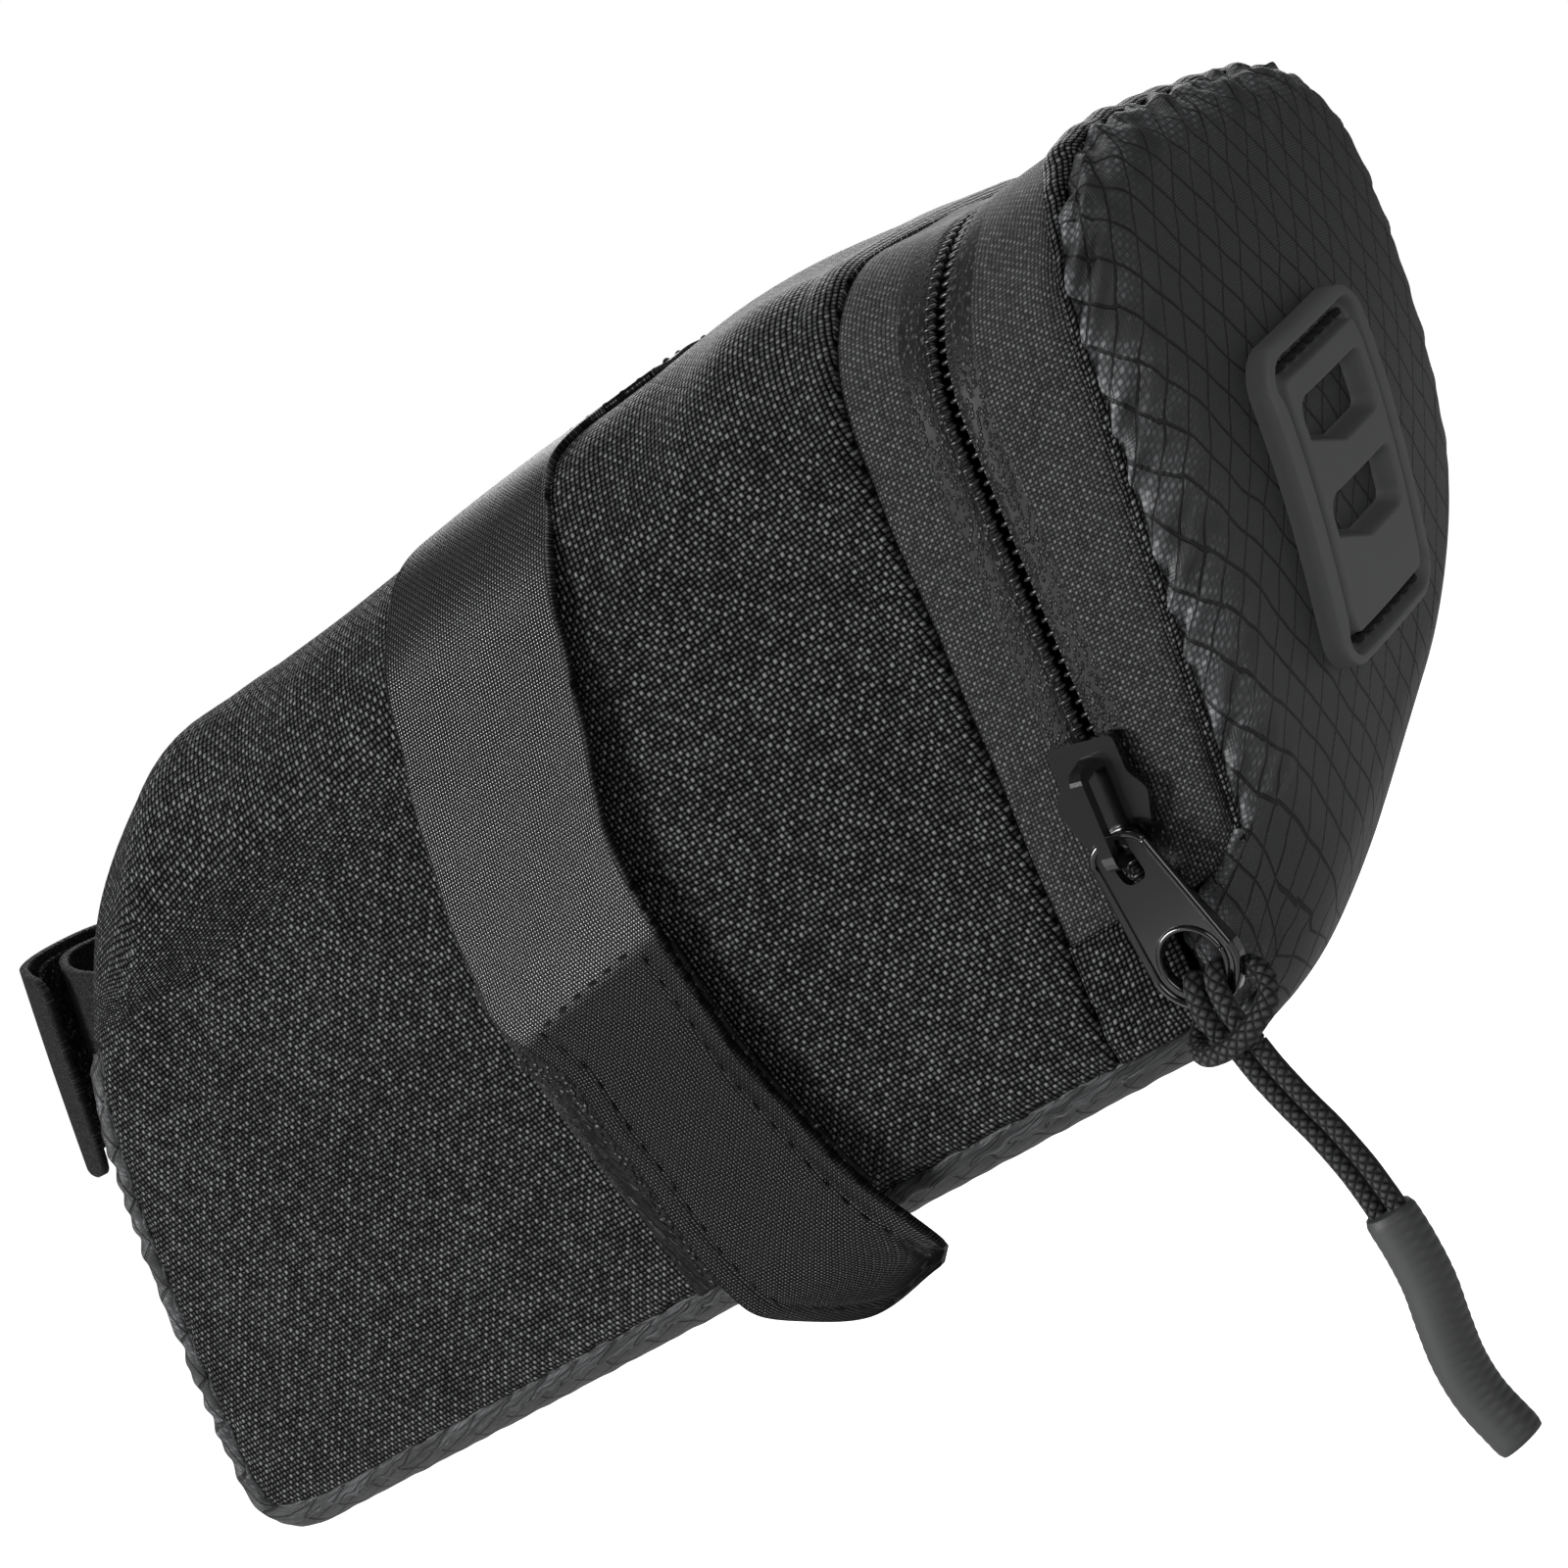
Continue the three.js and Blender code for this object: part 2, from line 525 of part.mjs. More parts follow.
// The strap's edge-on route: along the top, round the shoulder a little clear of the cloth,
// down the side, and out over the hook layer to the tip.
function strapProfile() {
  const lift = GAP + WEBBING / 2;
  const shoulder = new THREE.QuadraticBezierCurve(
    at(-(SIDE - TOP_RADIUS), TOP), at(-SIDE, TOP), at(-SIDE, TOP - TOP_RADIUS));
  const points = [[-ANCHOR_REACH - GAP, TOP + lift]];
  for (const share of [0.1, 0.3, 0.5, 0.7, 0.9]) {
    const p = shoulder.getPoint(share);
    const t = shoulder.getTangent(share);
    points.push([p.x + t.y * (lift + 0.1), p.y - t.x * (lift + 0.1)]);
  }
  const startZ = TOP - TOP_RADIUS;
  const startY = -(SIDE + lift + 0.1);
  const outward = (STRAP_TAB_Y - startY) / 3;
  const fall = (startZ - TAB_TOP_Z) / 4;
  for (const step of [0, 1, 2, 3]) {
    points.push([startY + outward * step, startZ - fall * step]);
  }
  const tail = TAB_TOP_Z - STRAP_TIP_Z;
  for (const share of [0, 0.25, 0.5, 0.75, 1]) {
    points.push([STRAP_TAB_Y, TAB_TOP_Z - tail * share]);
  }
  return points;
}

// Cuts a hanging band's lower end to a rounded tip.
function tipCutter(width) {
  const middle = strapX(STRAP_TIP_Z + 10);
  const shape = roundedOutline([
    at(middle - width / 2 + 2.2, STRAP_TIP_Z), at(middle + width / 2 + 3.2, STRAP_TIP_Z + 1.5),
    at(middle + 60, TOP + 30), at(middle - 60, TOP + 30), at(middle - width / 2 - 12, STRAP_TIP_Z + 26),
  ], [7, 4, 0, 0, 0]);
  return toManifold(prismAlongY(shape, -2 * WIDTH, 2 * WIDTH, 6));
}

function saddleStraps() {
  const profile = strapProfile();
  const narrow = toManifold(hangingBand(profile, WEBBING, STRAP_WIDTH));
  const tail = profile.slice(-5);
  const wide = toManifold(hangingBand(tail, WEBBING, STRAP_TAB_WIDTH));
  const strap = narrow.add(wide).intersect(tipCutter(STRAP_TAB_WIDTH));
  const hookRun = tail.map(([, z]) => [HOOK_Y, z]);
  const hook = toManifold(hangingBand(hookRun, HOOK_PILE, STRAP_TAB_WIDTH - 2))
    .intersect(tipCutter(STRAP_TAB_WIDTH - 2));
  const loopY = -(SIDE + GAP + HOOK_PILE / 2);
  const loopRun = [TAB_TOP_Z + 6, TAB_TOP_Z - 4, TAB_TOP_Z - 14, BOTTOM + BOTTOM_RADIUS + 1]
    .map((z) => [loopY, z]);
  const loop = toManifold(hangingBand(loopRun, HOOK_PILE, STRAP_WIDTH));
  const anchorX = strapX(-WEBBING / 2);
  const chevron = new THREE.Shape([
    at(anchorX - STRAP_WIDTH / 2, -ANCHOR_REACH), at(anchorX + STRAP_WIDTH / 2, -ANCHOR_REACH),
    at(STRAP_WIDTH / 2, 0),
    at(anchorX + STRAP_WIDTH / 2, ANCHOR_REACH), at(anchorX - STRAP_WIDTH / 2, ANCHOR_REACH),
    at(-STRAP_WIDTH / 2, 0)]);
  const anchor = toManifold(extrude(chevron, WEBBING, 1).translate(0, 0, -WEBBING));
  return [
    mesh('saddle_strap_anchor', anchor, webbing()),
    ...pair('saddle_strap', strap, webbing),
    ...pair('saddle_hook_patch', hook, pile),
    ...pair('side_loop_patch', loop, pile),
  ];
}

// ---- seatpost strap ------------------------------------------------------------------------
// The two ends are drawn in plan from their roots: [distance from the front face, Y].
const POST_ROOT = 12.5;        // |Y| of each root
const POST_DROP = 18.9;        // from the bag's top to the strap's upper edge
const LEFT_END = [
  [1.2, -POST_ROOT], [5, -14], [10, -13.6], [15, -11], [17.6, -6.8], [16.4, -2.4], [12.5, 1.4], [8.5, 4.6],
  [5.5, 6.8],
];
const RIGHT_END = [
  [1.2, POST_ROOT], [6, 12], [11, 9], [15.5, 5], [20, 0], [22.3, -5.5], [21.6, -10.5], [18.5, -13.6],
  [14.6, -15.6],
];

// A band standing out from the front face, its width along the face's slope.
function postBand(points, thickness, inset) {
  const outline = ribbonOutline(points.map(([out, y]) => [-out, y]), thickness);
  const width = POST_STRAP_WIDTH - 2 * inset;
  const geometry = extrude(outline, width, 1).translate(0, 0, -width / 2);
  const middle = TOP - POST_DROP - POST_STRAP_WIDTH * Math.cos(Math.atan(FRONT_SLOPE)) / 2;
  geometry.rotateY(Math.atan(FRONT_SLOPE));
  return toManifold(geometry.translate(frontX(middle) - GAP - 0.9, 0, middle));
}

// The same route moved sideways by a distance, for a layer that lies on the band.
function besideRoute(points, distance, from, to) {
  const line = points.map(([a, b]) => new THREE.Vector3(a, b, 0));
  const curve = new THREE.CatmullRomCurve3(line, false, 'centripetal');
  const route = [];
  const count = 10;
  for (let i = 0; i <= count; i += 1) {
    const u = from + (to - from) * i / count;
    const p = curve.getPoint(u);
    const t = curve.getTangent(u);
    route.push([p.x - t.y * distance, p.y + t.x * distance]);
  }
  return route;
}

function seatpostStrap() {
  const layer = 0.6;
  const beside = (POST_STRAP_THICK + layer) / 2 + GAP;
  const loopLayer = besideRoute(LEFT_END, -beside, 0.55, 0.95);
  const hookLayer = besideRoute(RIGHT_END, -beside, 0.45, 0.8);
  const base = sheet(-GAP - 0.6, -GAP).intersect(toManifold(prismAlongX(
    roundedRectangle(-POST_ROOT - 5, TOP - POST_DROP - 29, POST_ROOT + 5, TOP - POST_DROP - 1, 2), -300, 0, 3)));
  return [
    mesh('seatpost_strap_base', base, ripstop()),
    mesh('seatpost_strap_left', postBand(LEFT_END, POST_STRAP_THICK, 0), webbing()),
    mesh('seatpost_strap_right', postBand(RIGHT_END, POST_STRAP_THICK, 0), webbing()),
    mesh('seatpost_loop_patch', postBand(loopLayer, layer, 1), pile()),
    mesh('seatpost_hook_patch', postBand(hookLayer, layer, 1), pile()),
  ];
}

// ---- assembly ------------------------------------------------------------------------------
const saddleBag = new THREE.Group();
saddleBag.add(bodyShell(), basePanel(), bodyLining(), ...bodyPadding(), ...seamRoll());
saddleBag.add(...zipHalf(-1), ...endTabs(), ...endStops());
const lid = new THREE.Group();
lid.add(...zipHalf(1), rearPanel(), ...lidInside(), lightPatch());
saddleBag.add(lid, ...slider(), ...pullCord(), ...saddleStraps(), ...seatpostStrap());
export default saddleBag;
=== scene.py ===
"""Saddle bag: the cloth, trims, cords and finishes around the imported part.

Blender works in metres in the part's frame: +Z up, +X to the rear (lid), -Y the slider's side, origin on
the strap anchor. The shape functions below work in millimetres."""

import math

import bpy
import numpy as np
from mathutils import Matrix, Vector


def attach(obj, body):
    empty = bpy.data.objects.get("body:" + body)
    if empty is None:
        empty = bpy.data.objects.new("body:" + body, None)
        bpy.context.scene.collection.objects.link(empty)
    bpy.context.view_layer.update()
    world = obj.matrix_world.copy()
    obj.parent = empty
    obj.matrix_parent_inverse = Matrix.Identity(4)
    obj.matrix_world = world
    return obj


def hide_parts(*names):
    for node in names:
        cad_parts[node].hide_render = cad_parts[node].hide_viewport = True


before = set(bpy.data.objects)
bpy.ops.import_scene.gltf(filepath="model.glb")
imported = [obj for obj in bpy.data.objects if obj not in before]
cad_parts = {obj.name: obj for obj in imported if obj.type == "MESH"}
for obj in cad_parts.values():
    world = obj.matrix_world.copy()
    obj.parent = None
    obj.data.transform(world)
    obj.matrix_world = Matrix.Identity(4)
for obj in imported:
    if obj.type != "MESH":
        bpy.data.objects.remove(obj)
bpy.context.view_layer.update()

MM = 0.001
TOP, BOTTOM, MIDDLE, SIDE = -1.5, -85.5, -48.0, 33.0
FRONT_LEAN, REAR_LEAN, ZIP_LEAN = 0.43, 0.27, 0.245
CORNER = 15.0            # the section's upper corners
SEAM_Z = -81.5           # where the side's cloth meets the bottom strip
SEAM_TOP = -24.5         # where the front's cloth meets the front strip
HEM, BAND = 11.55, 13.0  # from the zip's middle: the cloth's hem, and the lid's gathered band
ZIP_END = -69.5
FRONT_BULGE = 5.5        # how far the stuffing swells the front
STRAP_COLUMNS = 41       # points across a saddle strap
STRAP_FOOT = np.array([-102.6, 0, -33.2])   # middle of the seatpost strap's base


# ---- camera ---------------------------------------------------------------------------------

def make_camera():
    """The view: an azimuth, an elevation and a roll, through a 102 mm lens."""
    azimuth, elevation, roll = (math.radians(a) for a in (37.0, 3.46, 34.8))
    forward = Vector((-math.sin(azimuth) * math.cos(elevation), math.cos(azimuth) * math.cos(elevation),
                      -math.sin(elevation)))
    right = Vector((math.cos(azimuth), math.sin(azimuth), 0))
    up = right.cross(forward)
    across = math.cos(roll) * right - math.sin(roll) * up
    along = math.sin(roll) * right + math.cos(roll) * up
    data = bpy.data.cameras.new("camera")
    data.sensor_width, data.lens = 36, 101.96
    data.clip_start, data.clip_end = 0.01, 20
    camera = bpy.data.objects.new("camera", data)
    bpy.context.scene.collection.objects.link(camera)
    turn = Matrix((across, along, -forward)).transposed().to_4x4()
    camera.matrix_world = Matrix.Translation(Vector((265.6, -376.7, -14.74)) * MM) @ turn
    bpy.context.scene.camera = camera


make_camera()


# ---- the bag's shape ------------------------------------------------------------------------

def front_x(z):
    """x of the front at height z: a leaning line, swelled forwards by a parabola at mid height."""
    return -104 + FRONT_LEAN * (z - MIDDLE) - FRONT_BULGE * dome(z, -42, 46)


def rear_x(z):
    """x of the lid's outer plane at height z."""
    return 58 + REAR_LEAN * (z - MIDDLE)


def zip_x(z):
    """x of the zip's middle at height z."""
    return 39.4 + ZIP_LEAN * (z - MIDDLE)


def band_x(z):
    """From the zip's middle to the lid's gathered band."""
    return BAND + 3.2 * ease(-62, -15, z)


def ease(low, high, v):
    """Smooth step: 0 at low, 1 at high, level at both."""
    t = np.clip((v - low) / (high - low), 0, 1)
    return t * t * (3 - 2 * t)


def hump(v, centre, width):
    """Bell curve of height 1 at centre."""
    return np.exp(-((v - centre) / width) ** 2)


def dome(v, centre, half):
    """Parabola of height 1 at centre, 0 from half away."""
    return np.clip(1 - ((v - centre) / half) ** 2, 0, 1)


def round_max(a, b, radius):
    """The larger of two distances, rounded with that radius where they meet."""
    u, v = a + radius, b + radius
    return np.hypot(np.maximum(u, 0), np.maximum(v, 0)) - radius + np.minimum(np.maximum(u, v), 0)


def bag(p):
    """Distance outside the stuffed bag's outer cloth: six leaning faces, each slightly swollen, with
    rounded edges. Towards the rear the far side hangs slack: it comes inwards, lifts at the bottom and
    rounds off."""
    x, y, z = p[..., 0], p[..., 1], p[..., 2]
    slack = ease(5, 55, x)
    far = ease(-20, 33, y) * slack
    swell = 2.4 * ease(26, 6, x) * dome(z, -46, 40) * dome(x, -36, 74)
    half = SIDE - slack
    side = np.abs(y + SIDE - half) - half - swell
    lifted = BOTTOM - z + 22 * far * ease(-20, -80, z)
    top = z - TOP - 0.7 * dome(y, 0, 30) + 1.5 * hump(x, -47, 24) * dome(y, 0, 34) + 4.5 * ease(24, 52,
                                                                                                x) + 4 * far
    bottom = lifted - 0.8 * dome(x, -45, 60) * dome(y, 0, 30)
    front = (front_x(z) - x - 2.0 * dome(y, 0, 33) * dome(z, -50, 36)) / 1.09
    rear = (x - rear_x(z) - 3.4 * dome(y, 0, 34) * dome(z, -42, 42) + 6 * ease(-30, -85, z)) / 1.036
    section = round_max(side, top, CORNER + 3 * ease(25, 60, x) - 3 * far)
    section = round_max(section, bottom, 8 + 6 * ease(25, 50, x) + 12 * far)
    ends = round_max(section, front, 8 + 13 * ease(-34, -8, z))
    return round_max(ends, rear, 7 + 5 * ease(-55, -80, z) + 6 * far * ease(-40, -85, z))


def slope(p):
    """Gradient of bag at p, by central differences."""
    step = 0.05
    return np.stack([(bag(p + d) - bag(p - d)) / (2 * step) for d in np.eye(3) * step], -1)


def settle(p, depth=0.0):
    """Moves points onto the surface that lies depth inside the outer cloth; returns them and the normals
    there."""
    for _ in range(9):
        g = slope(p)
        p = p - ((bag(p) + depth) / np.maximum((g * g).sum(-1), 0.2))[..., None] * g
    g = slope(p)
    return p, g / np.linalg.norm(g, axis=-1, keepdims=True)


def section(t, radius=CORNER):
    """(y, z) at t mm round the section from the middle of the top; negative t is the slider's side."""
    a, flat = np.abs(t), SIDE - radius
    turn = np.clip((a - flat) / radius, 0, math.pi / 2)
    down = np.maximum(a - flat - radius * math.pi / 2, 0)
    y = np.minimum(a, flat) + radius * np.sin(turn)
    return np.sign(t) * y, TOP - radius * (1 - np.cos(turn)) - down


def reach(z):
    """How far round the section the height z is."""
    return SIDE - CORNER + CORNER * math.pi / 2 + (TOP - CORNER - z)


def polyline(points, spacing=0.5):
    """A smooth line through points, resampled evenly unless spacing is None: Catmull-Rom."""
    p = np.array(points, float)
    p = np.vstack([2 * p[0] - p[1], p, 2 * p[-1] - p[-2]])
    s = np.linspace(0, 1, 24, endpoint=False)[:, None]
    parts = []
    for a, b, c, d in zip(p[:-3], p[1:-2], p[2:-1], p[3:]):
        parts.append(0.5 * (2 * b + (c - a) * s + (2 * a - 5 * b + 4 * c - d) * s**2
                            + (3 * b - a - 3 * c + d) * s**3))
    line = np.vstack(parts + [p[-2:-1]])
    if spacing is None:
        return line
    return resample(line, max(2, int(round(lengths(line)[-1] / spacing)) + 1))


def lengths(line):
    """Distance along a line to each of its points."""
    return np.concatenate([[0], np.cumsum(np.linalg.norm(np.diff(line, axis=0), axis=1))])


def resample(line, count):
    """A line's points, evenly spaced again."""
    along = lengths(line)
    where = np.linspace(0, along[-1], count)
    return np.stack([np.interp(where, along, line[:, k]) for k in range(line.shape[1])], -1)


def seam_line():
    """(x, z) of the seam on the side: down the front, round the lower corner, and back along the bottom."""
    front = [(front_x(z) + FRONT_BULGE, z) for z in np.linspace(SEAM_TOP, -75, 20)]
    a, b, c = np.array(front[-1]), np.array((front_x(SEAM_Z) + 5.2, SEAM_Z)), np.array((-104, SEAM_Z))
    corner = [(1 - s) ** 2 * a + 2 * s * (1 - s) * b + s * s * c for s in np.linspace(0.1, 1, 10)]
    back = [(x, SEAM_Z) for x in np.linspace(-100, 31, 30)]
    return resample(np.vstack([front, corner, back]), 900)


SEAM = seam_line()
SEAM_AT = lengths(SEAM)
SEAM_CORNER = float(np.interp(-104, SEAM[:, 0][np.argmin(SEAM[:, 0]):], SEAM_AT[np.argmin(SEAM[:, 0]):]))


def on_seam(q):
    """Point of the seam q mm along it from its top at the front."""
    return np.interp(q, SEAM_AT, SEAM[:, 0]), np.interp(q, SEAM_AT, SEAM[:, 1])


def wander(q, seed, *waves):
    """Sum of sines along q with the given lengths: uneven, repeatable, about -1 to 1."""
    phases = np.random.default_rng(seed).uniform(0, 6.28, len(waves))
    return sum(np.sin(q * 2 * math.pi / w + f) for w, f in zip(waves, phases)) / math.sqrt(len(waves))


# ---- meshes ---------------------------------------------------------------------------------

def grid_faces(rows, columns, start=0, wrap=False):
    """Four-sided faces between a grid's rows and columns; wrap joins the last column to the first."""
    i = np.arange(rows - 1)[:, None] * columns
    j = np.arange(columns if wrap else columns - 1)[None, :]
    k = (j + 1) % columns
    return np.stack([i + j, i + k, i + columns + k, i + columns + j], -1).reshape(-1, 4) + start


def volume(v, faces):
    """Six times the volume inside the faces: positive when they point outwards."""
    a, b, c, d = (v[faces[:, k]] for k in range(4))
    return (np.cross(a, b) * c).sum() + (np.cross(a, c) * d).sum()


def add_mesh(name, points, faces, cloth=None, material=None):
    """A smooth mesh of four-sided faces from points in mm; cloth holds each point's place on its own flat
    piece."""
    points = np.asarray(points, float)
    faces = np.asarray(faces)
    if volume(points, faces) < 0:
        faces = faces[:, ::-1]
    mesh = bpy.data.meshes.new(name)
    mesh.vertices.add(len(points))
    mesh.vertices.foreach_set("co", (points * MM).ravel())
    mesh.loops.add(faces.size)
    mesh.loops.foreach_set("vertex_index", faces.ravel().astype(np.int32))
    mesh.polygons.add(len(faces))
    mesh.polygons.foreach_set("loop_start", np.arange(0, faces.size, 4, dtype=np.int32))
    mesh.polygons.foreach_set("use_smooth", np.ones(len(faces), bool))
    if cloth is not None:
        mesh.attributes.new("cloth", "FLOAT_VECTOR", "POINT").data.foreach_set("vector",
                                                                               np.asarray(cloth).ravel())
    mesh.update(calc_edges=True)
    mesh.validate()
    obj = bpy.data.objects.new(name, mesh)
    bpy.context.scene.collection.objects.link(obj)
    if material:
        mesh.materials.append(material)
    return obj


def padded_cloth(cloth):
    """Cloth coordinates with a third number, 0 where none is given."""
    cloth = np.asarray(cloth, float)
    return cloth if cloth.shape[-1] == 3 else np.concatenate([cloth, np.zeros(cloth.shape[:-1] + (1,))], -1)


def sheet_mesh(name, outer, inner, cloth, material):
    """A closed sheet between two grids of the same shape."""
    rows, columns = outer.shape[:2]
    n = rows * columns
    index = np.arange(n).reshape(rows, columns)
    rim = np.concatenate([index[0, :-1], index[:-1, -1], index[-1, :0:-1], index[:0:-1, 0]])
    after = np.roll(rim, -1)
    faces = np.vstack([
        grid_faces(rows, columns),
        grid_faces(rows, columns, n)[:, ::-1],
        np.stack([after, rim, rim + n, after + n], -1),
    ])
    cloth = padded_cloth(cloth).reshape(-1, 3)
    points = np.vstack([outer.reshape(-1, 3), inner.reshape(-1, 3)])
    return add_mesh(name, points, faces, np.vstack([cloth, cloth]), material)


def flat_lengths(grid, origin_column=0):
    """Each grid point's distance along its row from origin_column, and along its column from the first
    row, in mm."""
    across = np.linalg.norm(np.diff(grid, axis=1), axis=-1)
    across = np.concatenate([np.zeros((grid.shape[0], 1)), np.cumsum(across, 1)], 1)
    across -= across[:, origin_column:origin_column + 1]
    down = np.linalg.norm(np.diff(grid, axis=0), axis=-1)
    down = np.concatenate([np.zeros((1, grid.shape[1])), np.cumsum(down, 0)], 0)
    return np.stack([down, across], -1)


def tube_mesh(name, line, radius, material, sides=14, ridge=None, order=None):
    """A round tube along line; radius is a number or one for each ring. order says which of the line's
    points the rings stand at, so that a tube can turn back into itself. Ends are closed by shrinking
    rings."""
    line = np.asarray(line, float)
    tangent = np.gradient(line, axis=0)
    tangent /= np.linalg.norm(tangent, axis=1, keepdims=True)
    side = np.cross(tangent[0], (0.3, 1, 0.2))
    frames = []
    for t in tangent:
        side = side - t * (side @ t)
        side /= np.linalg.norm(side)
        frames.append((side, np.cross(t, side)))
    u, v = np.array([f[0] for f in frames]), np.array([f[1] for f in frames])
    order = np.arange(len(line)) if order is None else order
    at = lengths(line)[order]
    line, u, v, count = line[order], u[order], v[order], len(order)
    radius = np.broadcast_to(np.asarray(radius, float), count)
    turn = np.linspace(0, 2 * math.pi, sides, endpoint=False)
    ring = np.cos(turn)[None, :, None] * u[:, None] + np.sin(turn)[None, :, None] * v[:, None]
    size = radius[:, None] * np.ones(sides)
    if ridge is not None:
        size = size + ridge(at[:, None], turn[None, :])
    points = line[:, None] + ring * size[..., None]
    start = line[0] + ring[0] * size[0][:, None] * 0.02
    end = line[-1] + ring[-1] * size[-1][:, None] * 0.02
    points = np.concatenate([start[None], points, end[None]])
    along = np.concatenate([at[:1], at, at[-1:]])
    cloth = np.stack([np.broadcast_to(along[:, None], points.shape[:2]),
                      np.broadcast_to(turn[None, :] / (2 * math.pi), points.shape[:2])], -1)
    faces = grid_faces(count + 2, sides, wrap=True)
    return add_mesh(name, points.reshape(-1, 3), faces, padded_cloth(cloth).reshape(-1, 3), material)


def stitches(name, line, normals, pitch, length, thread, material, sink=0.0):
    """A row of sewn stitches: short bowed threads along line, each dipping into the cloth at its ends."""
    at = lengths(line)
    starts = np.arange(pitch / 2, at[-1] - length, pitch)
    points, faces, cloth = [], [], []
    steps, sides = 7, 6
    turn = np.linspace(0, 2 * math.pi, sides, endpoint=False)
    for k, s in enumerate(starts):
        where = s + np.linspace(0, length, steps)
        centre = np.stack([np.interp(where, at, line[:, a]) for a in range(3)], -1)
        out = np.stack([np.interp(where, at, normals[:, a]) for a in range(3)], -1)
        out /= np.linalg.norm(out, axis=1, keepdims=True)
        bow = np.sin(np.linspace(0, math.pi, steps))
        centre = centre + out * ((bow - 0.55) * thread - sink)[:, None]
        ahead = np.gradient(centre, axis=0)
        ahead /= np.linalg.norm(ahead, axis=1, keepdims=True)
        beside = np.cross(ahead, out)
        beside /= np.linalg.norm(beside, axis=1, keepdims=True)
        size = thread * (0.25 + 0.75 * np.sin(np.linspace(0.25, math.pi - 0.25, steps)) ** 0.5) / 2
        ring = np.cos(turn)[None, :, None] * beside[:, None] + np.sin(turn)[None, :, None] * out[:, None]
        body = centre[:, None] + ring * size[:, None, None]
        faces.append(grid_faces(steps, sides, len(points) * steps * sides, wrap=True))
        points.append(body.reshape(-1, 3))
        cloth.append(np.stack([np.repeat(where, sides), np.tile(turn, steps), np.full(steps * sides, k)],
                              -1))
    caps = []
    for k in range(len(points)):
        for row, flip in ((0, False), (steps - 1, True)):
            i = k * steps * sides + row * sides
            quads = [[i, i + 1, i + 2, i + 3], [i, i + 3, i + 4, i + 5]]
            caps += [q[::-1] for q in quads] if not flip else quads
    return add_mesh(name, np.vstack(points), np.vstack(faces + [np.array(caps)]), np.vstack(cloth), material)


# ---- finishes -------------------------------------------------------------------------------

class Nodes:
    """Short ways to add and join shader nodes in one tree."""

    def __init__(self, tree):
        self.tree = tree

    def put(self, socket, value):
        """Joins or sets one socket."""
        if isinstance(value, bpy.types.NodeSocket):
            self.tree.links.new(value, socket)
        elif value is not None:
            socket.default_value = value

    def add(self, kind, inputs=None, **settings):
        node = self.tree.nodes.new(kind)
        for key, value in settings.items():
            setattr(node, key, value)
        for key, value in (inputs or {}).items():
            self.put(node.inputs[key], value)
        return node

    def math(self, operation, a, b=None, c=None):
        node = self.add("ShaderNodeMath", operation=operation)
        for socket, value in zip(node.inputs, (a, b, c)):
            self.put(socket, value)
        return node.outputs[0]

    def step(self, value, low, high):
        """0 below low, 1 above high, smooth between."""
        node = self.add("ShaderNodeMapRange", {"Value": value, "From Min": low, "From Max": high},
                        interpolation_type="SMOOTHSTEP")
        return node.outputs[0]

    def mix(self, factor, a, b):
        return self.add("ShaderNodeMix", {0: factor, 2: a, 3: b}).outputs[0]

    def tint(self, factor, a, b):
        """A colour from a to b; a may be a socket."""
        a = (*a, 1) if isinstance(a, tuple) else a
        node = self.add("ShaderNodeMix", {0: factor, 6: a, 7: (*b, 1)}, data_type="RGBA")
        return node.outputs[2]

    def noise(self, vector, scale, detail=2.0):
        return self.add("ShaderNodeTexNoise", {"Vector": vector, "Scale": scale,
                                               "Detail": detail}).outputs[0]

    def split(self, vector):
        return self.add("ShaderNodeSeparateXYZ", {0: vector}).outputs

    def join(self, x, y, z=0.0):
        return self.add("ShaderNodeCombineXYZ", {0: x, 1: y, 2: z}).outputs[0]


def node_group(name, inputs, outputs, build):
    """A node group: inputs maps names to a default number or 3 numbers; build returns the outputs' sockets
    in order."""
    tree = bpy.data.node_groups.new(name, "ShaderNodeTree")
    for key, value in inputs.items():
        kind = "NodeSocketFloat" if isinstance(value, float) else "NodeSocketVector"
        tree.interface.new_socket(key, in_out="INPUT", socket_type=kind).default_value = value
    for key in outputs:
        tree.interface.new_socket(key, in_out="OUTPUT", socket_type="NodeSocketFloat")
    n = Nodes(tree)
    entry, leave = tree.nodes.new("NodeGroupInput"), tree.nodes.new("NodeGroupOutput")
    for socket, value in zip(leave.inputs, build(n, entry.outputs)):
        n.put(socket, value)
    return tree


